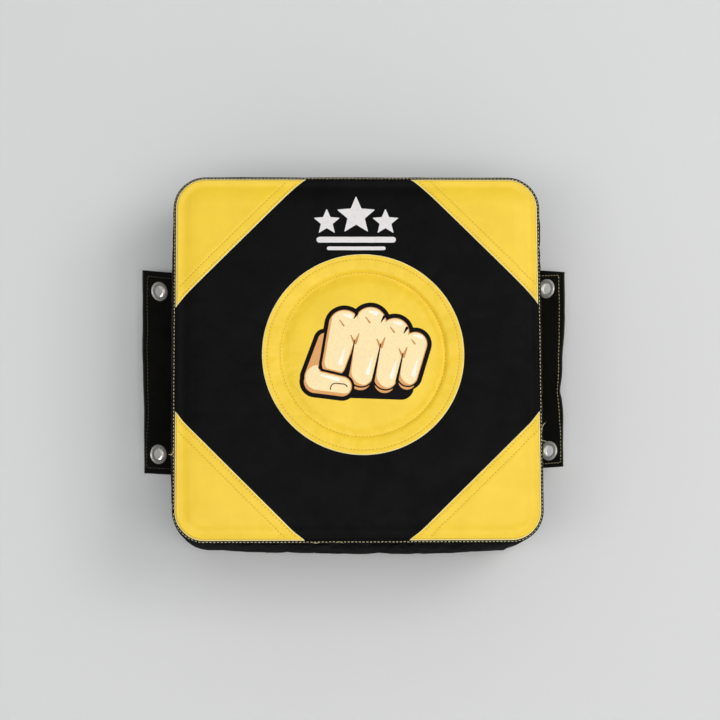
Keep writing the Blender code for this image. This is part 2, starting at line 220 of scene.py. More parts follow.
def capped(height, most):
    """Foam stops the cloth: small heights stay, and large ones level off at most."""
    return most * (1 - np.exp(-height / most))


# ---------------------------------------------------------------- meshes


class Surface:
    """Gathers grids and faces, and makes one smooth mesh object of them.

    Each point carries a value from 0 on open cloth to 1 on a cut or rubbed edge, for the materials to read:
    real wear on the black cloth, and on the yellow patches a painted highlight along their cut edges.
    """

    def __init__(self):
        self.points, self.faces, self.wear, self.count = [], [], [], 0

    def add(self, points, faces, wear=0.0):
        points = np.asarray(points, float).reshape(-1, 3)
        self.points.append(points)
        self.wear.append(np.broadcast_to(wear, len(points)) if np.ndim(wear) == 0 else np.ravel(wear))
        self.faces += [[self.count + i for i in face] for face in faces]
        self.count += len(points)

    def grid(self, points, wear=0.0, wrap_rows=False, wrap_columns=False, flip=False):
        rows, columns = points.shape[:2]
        index = np.arange(rows * columns).reshape(rows, columns)
        if wrap_rows:
            index = np.vstack([index, index[:1]])
        if wrap_columns:
            index = np.hstack([index, index[:, :1]])
        corners = [index[:-1, :-1], index[1:, :-1], index[1:, 1:], index[:-1, 1:]]
        quads = np.stack(corners, -1).reshape(-1, 4)
        self.add(points, (quads[:, ::-1] if flip else quads).tolist(), wear)

    def make(self, name, finish, merge=0.001 * MM):
        mesh = bpy.data.meshes.new(name)
        mesh.from_pydata(np.vstack(self.points).tolist(), [], self.faces)
        attribute = mesh.attributes.new("wear", "FLOAT", "POINT")
        attribute.data.foreach_set("value", np.concatenate(self.wear).astype(np.float32))
        bm = bmesh.new()
        bm.from_mesh(mesh)
        bmesh.ops.remove_doubles(bm, verts=bm.verts, dist=merge)
        bmesh.ops.dissolve_degenerate(bm, edges=bm.edges, dist=merge)
        loose = [v for v in bm.verts if not v.link_faces]
        bmesh.ops.delete(bm, geom=loose, context="VERTS")
        bm.to_mesh(mesh)
        bm.free()
        mesh.shade_smooth()
        mesh.materials.append(finish)
        piece = bpy.data.objects.new(name, mesh)
        bpy.context.scene.collection.objects.link(piece)
        return piece


def outline(s, half):
    """Points and outward directions on a rounded square, at distances s along it.

    It starts at the left side's lower end and goes up, over the top, down the right and along the bottom.
    """
    radius = half - CORNER_CORE
    side, turn = 2 * CORNER_CORE, radius * math.pi / 2
    s = np.mod(s, 4 * (side + turn))
    leg = np.minimum((s // (side + turn)).astype(int), 3)
    t = s - leg * (side + turn)
    along = np.minimum(t, side) - CORNER_CORE
    angle = np.maximum(t - side, 0) / radius
    x = -CORNER_CORE - radius * np.cos(angle)
    z = along + radius * np.sin(angle)
    nx, nz = -np.cos(angle), np.sin(angle)
    for _ in range(3):  # each later leg is the first one turned a quarter turn clockwise
        later = leg > 0
        x, z = np.where(later, z, x), np.where(later, -x, z)
        nx, nz = np.where(later, nz, nx), np.where(later, -nx, nz)
        leg = leg - 1
    return np.stack([x, z], -1), np.stack([nx, nz], -1)


def outline_length(half):
    return 8 * CORNER_CORE + 2 * math.pi * (half - CORNER_CORE)


def inside_distance(x, z, half):
    """How far a point lies inside the rounded square of that half width."""
    radius = half - CORNER_CORE
    qx, qz = np.abs(x) - CORNER_CORE, np.abs(z) - CORNER_CORE
    outer = np.hypot(np.maximum(qx, 0), np.maximum(qz, 0))
    return radius - outer - np.minimum(np.maximum(qx, qz), 0)


def nearest_on_outline(x, z, half):
    """The outline's point nearest to (x, z), as points with a zero depth."""
    cx, cz = np.clip(x, -CORNER_CORE, CORNER_CORE), np.clip(z, -CORNER_CORE, CORNER_CORE)
    dx, dz = x - cx, z - cz
    inner = (dx == 0) & (dz == 0)
    wide = np.abs(x) > np.abs(z)
    dx = np.where(inner & wide, np.sign(x), dx)
    dz = np.where(inner & ~wide, np.sign(z), dz)
    cx = np.where(inner & wide, np.sign(x) * CORNER_CORE, cx)
    cz = np.where(inner & ~wide, np.sign(z) * CORNER_CORE, cz)
    size = np.maximum(np.hypot(dx, dz), 1e-9) / (half - CORNER_CORE)
    return np.stack([cx + dx / size, 0 * cx, cz + dz / size], -1)


def stepped(low, high, coarse, fine, margin):
    """Values from low to high that lie close together near both ends."""
    ends = np.arange(0, margin, fine)
    middle = np.linspace(low + margin, high - margin, round((high - low - 2 * margin) / coarse) + 1)
    return np.concatenate([low + ends, middle, (high - ends)[::-1]])


# ---------------------------------------------------------------- the face


def face_seams(x, z):
    """Where the face's skin is sewn down: at the rim and along the target's ring."""
    ring = np.hypot(x - TARGET_X, z - TARGET_Z) - RING_RADIUS
    return (inside_distance(x, z, PANEL_HALF) < 3 * MM) | (np.abs(ring) < 2.2 * MM)


FACE_CROWN = blown_sheet(2 * PANEL_HALF, 2 * PANEL_HALF, 4 * MM, face_seams, slack=0.006)


def face_y(x, z):
    """Depth of the face's black skin: a rolled edge at the lip, a valley, then the crowned face."""
    inward = inside_distance(x, z, PANEL_HALF)
    seam = nearest_on_outline(x, z, PANEL_HALF)
    shoulder = smooth((inward - 3 * MM) / (24 * MM))
    fall = 3.4 * MM * (1 - smooth(inward / (2.6 * MM)))
    valley = 1.2 * MM * hump((inward - 8.5 * MM) / (5.5 * MM))
    pucker = noise_at(seam, 11 * MM, 1) * 0.45 * MM * np.exp(-((inward - 6 * MM) / (7 * MM)) ** 2)
    ring = RING_RADIUS - np.hypot(x - TARGET_X, z - TARGET_Z)
    channel = np.where(
        ring < 1 * MM, hump((ring - 1 * MM) / (2.6 * MM)), hump((ring - 1 * MM) / (7.5 * MM))
    )
    turned = np.arctan2(z - TARGET_Z, x - TARGET_X)
    sunk = (2.5 + 0.9 * np.cos(turned - 0.5)) * MM  # deepest towards the upper right
    crown = capped(np.maximum(FACE_CROWN(x, z), 0), FACE_BULGE)
    place = np.stack([x, 0 * x, z], -1)
    soft = noise_at(place, 42 * MM, 7) * 0.30 * MM + noise_at(place, 18 * MM, 8) * 0.12 * MM
    return PANEL_FRONT + 0.3 * MM + fall + valley - pucker - (crown + soft) * shoulder + sunk * channel


def round_corner(a, b):
    """Moves a square grid's points so that its outer lines follow the rounded square."""
    qa, qb = np.abs(a) - CORNER_CORE, np.abs(b) - CORNER_CORE
    corner = (qa > 0) & (qb > 0)
    most = np.where(corner, np.maximum(qa, qb), 1)
    angle = math.pi / 4 * np.where(corner, np.minimum(qa, qb), 0) / most
    long_side, short_side = most * np.cos(angle), most * np.sin(angle)
    x = np.where(corner, CORNER_CORE + np.where(qa >= qb, long_side, short_side), np.abs(a))
    z = np.where(corner, CORNER_CORE + np.where(qa >= qb, short_side, long_side), np.abs(b))
    return np.copysign(x, a), np.copysign(z, b)


def make_front_panel():
    lines = stepped(-PANEL_HALF, PANEL_HALF, 2.0 * MM, 0.8 * MM, 17.6 * MM)
    x, z = round_corner(*np.meshgrid(lines, lines, indexing="ij"))
    surface = Surface()
    surface.grid(np.stack([x, face_y(x, z), z], -1))
    panel = surface.make("face_skin", black_leatherette())
    thicken(panel, 0.8 * MM)
    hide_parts("front_panel")
    return panel


def patch_lift(inward):
    """How far a sewn-on patch stands over the skin: it rises in a rounded cut edge to one plump ply."""
    rounding = 0.9 * MM
    edge = np.sqrt(np.clip(1 - (1 - inward / rounding) ** 2, 0, 1))
    return PLY * 1.25 * np.where(inward < rounding, edge, 1)


def corner_patch_point(side, across, out):
    """A point of a corner patch, from its place across the diagonal and its distance out along it."""
    root = math.sqrt(2)
    return side[0] * (out + across) / root, side[1] * (out - across) / root


def patch_reach(out):
    """How far a corner patch runs to either side of the diagonal, at a distance out along it."""
    radius, centre = PANEL_HALF - CORNER_CORE, CORNER_CORE * math.sqrt(2)
    straight = PANEL_HALF * math.sqrt(2) - out
    rounded = np.sqrt(np.maximum(radius**2 - (out - centre) ** 2, 0))
    return np.where(out < centre + radius / math.sqrt(2), straight, rounded)


PATCH_START = (2 * HALF - PATCH_LEG) / math.sqrt(2)
PATCH_END = CORNER_CORE * math.sqrt(2) + PANEL_HALF - CORNER_CORE


def patch_start(side, across):
    """Where a patch's long edge lies: each is a little different, and flares where it meets the rim."""
    own = {(-1, 1): -2.0, (1, 1): 0.7, (-1, -1): -0.6, (1, -1): -1.5}[side] * MM
    lean = 0.012 * across if side == (1, -1) else 0
    half = patch_reach(PATCH_START)
    return PATCH_START + own + lean - 1.8 * MM * hump((np.abs(across) - half) / (9 * MM))


def patch_y(x, z, side):
    """Depth of a corner patch's surface."""
    root = math.sqrt(2)
    from_edge = (side[0] * x + side[1] * z) / root - patch_start(side, (side[0] * x - side[1] * z) / root)
    rows = sum(hump((from_edge - row) / (1.1 * MM)) for row in PATCH_ROWS)
    folded = hump((from_edge - PATCH_ROWS[1] - 2.5 * MM) / (5 * MM))
    return face_y(x, z) - patch_lift(from_edge) + 0.35 * MM * rows - 0.35 * MM * folded


def make_corner_patch(side, name):
    out = stepped(PATCH_START, PATCH_END, 1.8 * MM, 0.55 * MM, 15.4 * MM)
    out = np.concatenate([PATCH_START + np.array([0.0, 0.12, 0.3]) * MM, out[1:]])
    reach = patch_reach(PATCH_START)
    share = stepped(-reach, reach, 1.8 * MM, 0.7 * MM, 17.5 * MM) / reach
    across = patch_reach(out)[:, None] * share[None, :]
    shift = patch_start(side, across) - PATCH_START
    bent = out[:, None] + shift * (1 - smooth((out[:, None] - PATCH_START) / (30 * MM)))
    across = patch_reach(bent) * share[None, :]
    x, z = corner_patch_point(side, across, bent)
    from_lip = inside_distance(x, z, PANEL_HALF)
    from_cut = bent - patch_start(side, across)
    # Paler along the lip and along the cut edge: a painted highlight where the patch's rolled edge catches
    # the light.
    wear = np.maximum(1 - smooth(from_lip / (1.5 * MM)), 1 - smooth((from_cut - 0.4 * MM) / (0.7 * MM)))
    surface = Surface()
    surface.grid(np.stack([x, patch_y(x, z, side), z], -1), wear=wear, flip=side[0] * side[1] > 0)
    patch = surface.make(name + "_leather", yellow_leatherette())
    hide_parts(name)
    rows = Surface()
    for from_edge in PATCH_ROWS:
        half_row = float(patch_reach(PATCH_START + from_edge)) - 3 * MM
        t = np.linspace(-half_row, half_row, 120)
        px, pz = corner_patch_point(side, t, patch_start(side, t) + from_edge)
        path = np.stack([px, patch_y(px, pz, side), pz], -1)
        add_stitches(rows, path, FORWARD, **PATCH_STITCH)
    thread = rows.make(name + "_thread", yellow_thread_painted_shade())
    return [patch, thread]


def target_y(x, z):
    """Depth of the round target's surface."""
    inward = TARGET_RADIUS - np.hypot(x - TARGET_X, z - TARGET_Z)
    row = hump((inward - (TARGET_RADIUS - TARGET_ROW_RADIUS)) / (1.1 * MM))
    return face_y(x, z) - patch_lift(inward) + 0.35 * MM * row


def make_target():
    radii = np.concatenate(
        [
            np.linspace(0, 70 * MM, 30)[:-1],
            np.linspace(70 * MM, 100 * MM, 38)[:-1],
            np.linspace(100 * MM, TARGET_RADIUS - 0.8 * MM, 16)[:-1],
            TARGET_RADIUS - np.array([0.8, 0.5, 0.25, 0.1, 0.0]) * MM,
        ]
    )
    angle = np.linspace(0, 2 * math.pi, 361)[:-1]
    x = TARGET_X + radii[:, None] * np.cos(angle)[None, :]
    z = TARGET_Z + radii[:, None] * np.sin(angle)[None, :]
    inward = TARGET_RADIUS - radii[:, None] + 0 * x
    surface = Surface()
    # Paler along the rim: a painted highlight where the target's rolled edge catches the light.
    wear = 1 - smooth((inward - 0.4 * MM) / (0.7 * MM))
    surface.grid(np.stack([x, target_y(x, z), z], -1), wear=wear, wrap_columns=True)
    target = surface.make("target_leather", yellow_leatherette())
    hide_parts("target_patch")
    rows = Surface()
    for radius in (RING_RADIUS, TARGET_ROW_RADIUS):
        turn = np.linspace(0, 2 * math.pi, 361)
        px, pz = TARGET_X + radius * np.cos(turn), TARGET_Z + radius * np.sin(turn)
        path = np.stack([px, target_y(px, pz), pz], -1)
        add_stitches(rows, path, FORWARD, **PATCH_STITCH)
    thread = rows.make("target_thread", yellow_thread_painted_shade())
    return [target, thread]


def add_stitches(surface, path, normals, length, radius):
    """A row of stitches along a path. Each is a plump thread that dives into its holes at both ends."""
    steps = np.linalg.norm(np.diff(path, axis=0), axis=1)
    along = np.concatenate([[0], np.cumsum(steps)])
    count = int((along[-1] - length) / STITCH_PITCH) + 1
    if count < 1:
        return
    start = (along[-1] - (count - 1) * STITCH_PITCH) / 2
    centres = start + np.arange(count) * STITCH_PITCH
    normals = np.broadcast_to(normals, path.shape)

    def at(values, where):
        return np.stack([np.interp(where, along, values[:, k]) for k in range(3)], -1)

    first, last = at(path, centres - length / 2), at(path, centres + length / 2)
    up = at(normals, centres)
    up /= np.linalg.norm(up, axis=1, keepdims=True)
    side = np.cross(last - first, up)
    side /= np.linalg.norm(side, axis=1, keepdims=True)
    random = np.random.default_rng(count)
    sway = random.normal(0, STITCH_WANDER, (2, count, 1)) * side
    first, last = first + sway[0], last + sway[1]
    t = np.array([0, 0.12, 0.35, 0.65, 0.88, 1.0])
    thick = radius * np.array([0.35, 0.85, 1.0, 1.0, 0.85, 0.35])
    lift = radius * np.array([-0.9, 0.25, 0.75, 0.75, 0.25, -0.9])
    middle = first[:, None] * (1 - t[None, :, None]) + last[:, None] * t[None, :, None]
    middle = middle + lift[None, :, None] * up[:, None]
    sideways = np.cos(THREAD_TURN)[:, None] * side[:, None, None, :]
    ring = sideways + np.sin(THREAD_TURN)[:, None] * up[:, None, None, :]
    points = middle[:, :, None] + thick[None, :, None, None] * ring
    for stitch in points:
        surface.grid(stitch, wrap_columns=True, flip=True)


# ---------------------------------------------------------------- the lip


def lip_section():
    """Cross-section of the lip: distance out from its middle, and depth, with the slit between its plies."""
    turn = np.linspace(0, 2 * math.pi, 18, endpoint=False)
    out = np.sign(np.cos(turn)) * np.abs(np.cos(turn)) ** 0.6
    deep = np.sign(np.sin(turn)) * np.abs(np.sin(turn)) ** 0.7
    slit = 0.16 * hump(deep / 0.3) * (out > 0)
    return out - slit, deep


LOOSE_ENDS = (  # where it leaves the seam, which way it runs, and how far it reaches
    ((-HALF + 1.2 * MM, -0.096), (-0.45, -1.0), 9 * MM),
    ((-HALF + 1.0 * MM, -0.104), (-1.0, 0.25), 5 * MM),
    ((HALF - 0.9 * MM, -0.080), (0.55, 0.9), 11 * MM),
    ((HALF - 1.0 * MM, -0.090), (1.0, -0.5), 6 * MM),
    ((-0.024, -HALF + 1.0 * MM), (1.0, -0.25), 8 * MM),
    ((-0.042, -HALF + 1.2 * MM), (-0.9, 0.15), 7 * MM),
)


def add_loose_end(surface, start, way, reach):
    """A cut end of thread that stands out of the seam in a small curl."""
    way = way / np.linalg.norm(way)
    side = np.array([-way[Z], 0, way[X]])
    t = np.linspace(0, 1, 12)[:, None]
    curl = 0.22 * reach * np.sin(2.6 * t) * side - 0.10 * reach * np.sin(math.pi * t) * REARWARD
    path = start + reach * t * way + curl
    ring = np.cos(THREAD_TURN)[:, None] * side + np.sin(THREAD_TURN)[:, None] * REARWARD
    thick = 0.24 * MM * np.sqrt(np.clip(1.02 - t**6, 0, 1))
    surface.grid(path[:, None] + thick[:, None] * ring[None], wrap_columns=True, flip=True)


def make_lip():
    half_width, half_depth = (HALF - LIP_INNER) / 2, (LIP_BACK - LIP_FRONT) / 2
    middle_half = HALF - half_width
    length = outline_length(middle_half)
    s = np.linspace(0, length, 1160, endpoint=False)
    points, normals = outline(s, middle_half)
    place = np.stack([points[:, 0], 0 * s, points[:, 1]], -1)
    sway = noise_at(place, 26 * MM, 3) * 0.35 * MM + noise_at(place, 7 * MM, 4) * 0.12 * MM
    plump = 1 + 0.10 * np.cos(2 * math.pi * s / STITCH_PITCH)
    nod = noise_at(place, 17 * MM, 5) * 0.30 * MM
    out, deep = lip_section()
    reach = half_width * out[None, :] + sway[:, None] * smooth(out[None, :] + 0.5)
    depth = (LIP_FRONT + LIP_BACK) / 2 + half_depth * deep[None, :] * plump[:, None] + nod[:, None]
    x = points[:, 0:1] + normals[:, 0:1] * reach
    z = points[:, 1:2] + normals[:, 1:2] * reach
    surface = Surface()
    wear = smooth((out[None, :] - 0.75) / 0.25) * (0.5 + 0.5 * noise_at(place, 9 * MM, 6)[:, None])
    surface.grid(np.stack([x, depth, z], -1), wrap_rows=True, wrap_columns=True, wear=wear, flip=True)
    lip = surface.make("lip_leather", black_leatherette())
    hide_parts("front_lip")
    row = Surface()
    row_out = 0.5 * half_width
    px, pz = points[:, 0] + normals[:, 0] * row_out, points[:, 1] + normals[:, 1] * row_out
    py = LIP_FRONT + nod + 0.05 * MM
    path = np.stack([px, py, pz], -1)
    add_stitches(row, np.vstack([path, path[:1]]), FORWARD, **LIP_STITCH)
    for (x, z), (along_x, along_z), reach in LOOSE_ENDS:
        add_loose_end(row, np.array([x, LIP_FRONT - 0.2 * MM, z]), np.array([along_x, 0, along_z]), reach)
    thread = row.make("lip_thread", pale_thread())
    return [lip, thread]


# ---------------------------------------------------------------- the side band


def punched_grid(us, vs, holes, block=3.0 * MM):
    """A flat grid with round holes: points, faces, and each hole's rim as a loop of point numbers.

    Round each hole a square block of cells gives way to rings that turn the square into the circle.
    """
    u, v = np.meshgrid(us, vs, indexing="ij")
    points = [np.stack([u.ravel(), v.ravel()], -1)]
    index = np.arange(u.size).reshape(u.shape)
    kept = np.ones((len(us) - 1, len(vs) - 1), bool)
    faces, rims, count = [], [], u.size
    rings = 4
    for hole_u, hole_v, radius in holes:
        i0, i1 = (int(np.argmin(np.abs(us - hole_u - d))) for d in (-block, block))
        j0, j1 = (int(np.argmin(np.abs(vs - hole_v - d))) for d in (-block, block))
        kept[i0:i1, j0:j1] = False
        loop = np.concatenate(
            [index[i0:i1, j0], index[i1, j0:j1], index[i1:i0:-1, j1], index[i0, j1:j0:-1]]
        )
        square = points[0][loop]
        angle = np.arctan2(square[:, 1] - hole_v, square[:, 0] - hole_u)
        circle = np.stack([hole_u + radius * np.cos(angle), hole_v + radius * np.sin(angle)], -1)
        for k in range(1, rings + 1):
            share = k / rings
            points.append(square * (1 - share) + circle * share)
            inner = count + np.arange(len(loop))
            count += len(loop)
            faces += np.stack([loop, np.roll(loop, -1), np.roll(inner, -1), inner], -1).tolist()
            loop = inner
        rims.append(loop)
    corners = [index[:-1, :-1], index[1:, :-1], index[1:, 1:], index[:-1, 1:]]
    faces = np.stack(corners, -1)[kept].tolist() + faces
    return np.vstack(points), faces, rims


def with_places(lines, centres, reach):
    """Grid lines of which some pass exactly at each centre plus and minus reach, and half of that."""
    offsets = np.array([-1, -0.5, 0, 0.5, 1]) * reach
    wanted = (np.asarray(centres)[:, None] + offsets).ravel()
    near = np.abs(lines[:, None] - wanted[None, :]).min(1) < 0.35 * reach
    return np.sort(np.concatenate([lines[~near], wanted]))


BAND_LENGTH = outline_length(BAND_HALF)
BAND_LEG = BAND_LENGTH / 4
SEAM_FROM_CORNER = BAND_SEAM_Z + CORNER_CORE
BAND_MIDDLE = (BAND_FRONT + BAND_BACK) / 2


def room_for_flaps(reach, x, y, z):
    """Holds the side band down where a flap and its grommets lie when it is folded along the pad."""
    for flap in (Flap("left", -1), Flap("right", 1)):
        out, up = flap.fold[Y] - y, z - flap.fold[Z]
        under = smooth((flap.width + 32 * MM - out) / (30 * MM))
        under = under * smooth((flap.half_height + 30 * MM - np.abs(up)) / (28 * MM))
        most = 0.1 * MM
        for u, v in flap.grommets:
            most = most - 0.6 * MM * smooth((20 * MM - np.hypot(out - u, up - v)) / (6 * MM))
        reach = reach + (np.minimum(reach, most) - reach) * under * (x * flap.side > CORNER_CORE)
    return reach


def make_band_strip(name, node, first, last, most, vents, seed):
    """One strip of the side band, between its cross seams at first and last along the outline."""
    length, depth = last - first, BAND_BACK - BAND_FRONT

    def seams(u, v):
        return (np.abs(u) > length / 2 - 2 * MM) | (np.abs(v) > depth / 2 - 2 * MM)

    sheet = blown_sheet(length, depth, 5 * MM, seams, slack=0.012, seed=seed)

    def skin(s, y):
        points, normals = outline(s, BAND_HALF)
        corner = hump((np.mod(s, BAND_LEG) - (2 * CORNER_CORE + BAND_LEG) / 2) / (58 * MM))
        bulge = capped(np.maximum(sheet(s - (first + last) / 2, y - BAND_MIDDLE), 0), most)
        if len(vents):  # the bottom strip hangs lowest right of its middle, and is flatter at that end
            to_right = np.mean(vents) - s
            lowest = hump((to_right - 35 * MM) / (85 * MM))
            bulge = bulge * (1 + 0.4 * lowest - 0.4 * hump((to_right - 165 * MM) / (40 * MM)))
        place = np.stack([points[..., 0], 0 * s, points[..., 1]], -1)
        front, back = y - BAND_FRONT, BAND_BACK - y
        pucker = noise_at(place, 9 * MM, seed) * np.exp(-front / (9 * MM))
        pucker = pucker + noise_at(place, 12 * MM, seed + 1) * np.exp(-back / (12 * MM))
        soft = np.stack([points[..., 0], y, points[..., 1]], -1)
        dents = noise_at(soft, 45 * MM, seed + 2) * smooth(front / (20 * MM)) * smooth(back / (20 * MM))
        tuck = -1.2 * MM * (hump(front / (1.6 * MM)) + hump(back / (1.6 * MM)))
        cross = -1.0 * MM * (hump((s - first) / (1.8 * MM)) + hump((s - last) / (1.8 * MM)))
        reach = bulge * (1 - 0.92 * corner) + 0.55 * MM * pucker + 0.5 * MM * dents + tuck + cross
        reach = room_for_flaps(reach, points[..., 0], y, points[..., 1])
        x = points[..., 0] + normals[..., 0] * reach
        z = points[..., 1] + normals[..., 1] * reach
        return np.stack([x, y, z], -1)

    s_lines = np.linspace(first, last, round(length / (2.2 * MM)) + 1)
    y_lines = stepped(BAND_FRONT, BAND_BACK, 2.4 * MM, 1.0 * MM, 8 * MM)
    if len(vents):
        s_lines = with_places(s_lines, vents, 3 * MM)
        y_lines = with_places(y_lines, [cad_low.y / 2], 3 * MM)
    holes = [(s, cad_low.y / 2, VENT_RADIUS) for s in vents]
    flat, faces, _ = punched_grid(s_lines, y_lines, holes)
    rubbed = np.zeros(len(flat))
    for hole_s, hole_y, radius in holes:
        from_rim = np.hypot(flat[:, 0] - hole_s, flat[:, 1] - hole_y) - radius
        rubbed = np.maximum(rubbed, 0.5 * hump(from_rim / (0.7 * MM)))
    surface = Surface()
    surface.add(skin(flat[:, 0], flat[:, 1]), [face[::-1] for face in faces], wear=rubbed)
    # The bottom strip gets the darker cloth with painted shade, the upper strip the plain black cloth.
    strip = surface.make(name, band_leatherette_painted_shade() if len(vents) else side_leatherette())
    thicken(strip, PLY)
    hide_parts(node)
    rows = Surface()
    for cross, inward in ((first, 1), (last, -1)):
        y = np.linspace(BAND_FRONT + 4 * MM, BAND_BACK - 4 * MM, 60)
        s = np.full_like(y, cross + inward * 4 * MM)
        _, normals = outline(s, BAND_HALF)
        up = np.stack([normals[:, 0], 0 * y, normals[:, 1]], -1)
        add_stitches(rows, skin(s, y), up, **SEAM_STITCH)
    thread = rows.make(name + "_thread", black_thread())
    return [strip, thread]


def thicken(piece, thickness):
    """Gives an open sheet its thickness, inwards."""
    solid = piece.modifiers.new("Thickness", "SOLIDIFY")
    solid.thickness = thickness
    solid.offset = -1


def make_band():
    side = 2 * CORNER_CORE
    bottom_start = 2 * BAND_LEG + side - SEAM_FROM_CORNER
    bottom_middle = 3 * BAND_LEG + side / 2
    vents = bottom_middle + (np.arange(VENT_COUNT) - (VENT_COUNT - 1) / 2) * VENT_PITCH
    upper = make_band_strip(
        "side_band_upper_skin", "side_band_upper", SEAM_FROM_CORNER, bottom_start, UPPER_BULGE, [], 21
    )
    bottom = make_band_strip(
        "side_band_bottom_skin", "side_band_bottom", bottom_start, BAND_LENGTH + SEAM_FROM_CORNER,
        BOTTOM_BULGE, vents, 31,
    )
    return upper + bottom


def make_rear_seam():
    """The rolled seam round the back, and its row of stitches."""
    length = outline_length(HALF)
    s = np.linspace(0, length, 900, endpoint=False)
    middle = (BEAD_FRONT + BEAD_BACK) / 2
    points, normals = outline(s, HALF - 1.2 * MM)
    place = np.stack([points[:, 0], 0 * s, points[:, 1]], -1)
    sway = noise_at(place, 21 * MM, 9) * 0.25 * MM
    turn = np.linspace(0, 2 * math.pi, 14, endpoint=False)
    half_depth = (BEAD_BACK - BEAD_FRONT) / 2
    reach = 1.2 * MM * np.cos(turn)[None, :] + sway[:, None]
    depth = middle + half_depth * np.sin(turn)[None, :] + 0 * reach
    x = points[:, 0:1] + normals[:, 0:1] * reach
    z = points[:, 1:2] + normals[:, 1:2] * reach
    surface = Surface()
    surface.grid(np.stack([x, depth, z], -1), wrap_rows=True, wrap_columns=True, flip=True)
    bead = surface.make("rear_seam_roll", black_leatherette())
    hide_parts("rear_seam_bead")
    row = Surface()
    points, normals = outline(s, BACK_HALF - 3.5 * MM)
    path = np.stack([points[:, 0], back_y(points[:, 0], points[:, 1]), points[:, 1]], -1)
    add_stitches(row, np.vstack([path, path[:1]]), REARWARD, **SEAM_STITCH)
    thread = row.make("rear_seam_thread", black_thread())
    return [bead, thread]


# ---------------------------------------------------------------- the back and its zip

SLOT_HALF_WIDTH = 7.0 * MM
SLOT_TOP = span("zip_tape_left", Z)[1]
FACING_FRONT = span("back_panel_left", Y)[0]
FACING_REACH = 5.0 * MM  # of the facing's fold, from the slot's edge


def back_y(x, z):
    """Depth of the back's cloth, which lies nearly flat against the wall and rounds in at its seam."""
    inward = inside_distance(x, z, BACK_HALF + 0.8 * MM)
    place = np.stack([x, 0 * x, z], -1)
    seam = nearest_on_outline(x, z, BACK_HALF)
    pucker = noise_at(seam, 10 * MM, 12) * 0.35 * MM * np.exp(-inward / (9 * MM))
    soft = (noise_at(place, 60 * MM, 13) + 0.5 * noise_at(place, 22 * MM, 14) - 1.5) * 0.22 * MM
    flat = smooth(np.abs(x - ZIP_X) / (20 * MM) - 0.3)
    return -0.15 * MM + soft * flat - np.abs(pucker) - 1.6 * MM * (1 - smooth(inward / (7 * MM)))


def clipped(us, vs, inside, keep=None):
    """The part of a flat grid where inside(u, v) is above zero, cut along that line: points and faces."""
    u, v = np.meshgrid(us, vs, indexing="ij")
    depth = inside(u, v)
    depth = np.where(np.abs(depth) < 1e-7, 1e-7, depth)
    points, faces, known = [], [], {}

    def point(a, b):
        """Number of the grid point a, or of the line's crossing between a and b."""
        key = (a, a) if a == b else (min(a, b), max(a, b))
        if key not in known:
            a, b = key
            share = 0 if a == b else depth[a] / (depth[a] - depth[b])
            points.append((u[a] + (u[b] - u[a]) * share, v[a] + (v[b] - v[a]) * share))
            known[key] = len(points) - 1
        return known[key]

    for i in range(len(us) - 1):
        for j in range(len(vs) - 1):
            if keep is not None and not keep((us[i] + us[i + 1]) / 2, (vs[j] + vs[j + 1]) / 2):
                continue
            corners = [(i, j), (i + 1, j), (i + 1, j + 1), (i, j + 1)]
            if not any(depth[c] > 0 for c in corners):
                continue
            face = []
            for a, b in zip(corners, corners[1:] + corners[:1]):
                if depth[a] > 0:
                    face.append(point(a, a))
                if (depth[a] > 0) != (depth[b] > 0):
                    face.append(point(a, b))
            if len(face) > 2:
                faces.append(face)
    return np.array(points), faces


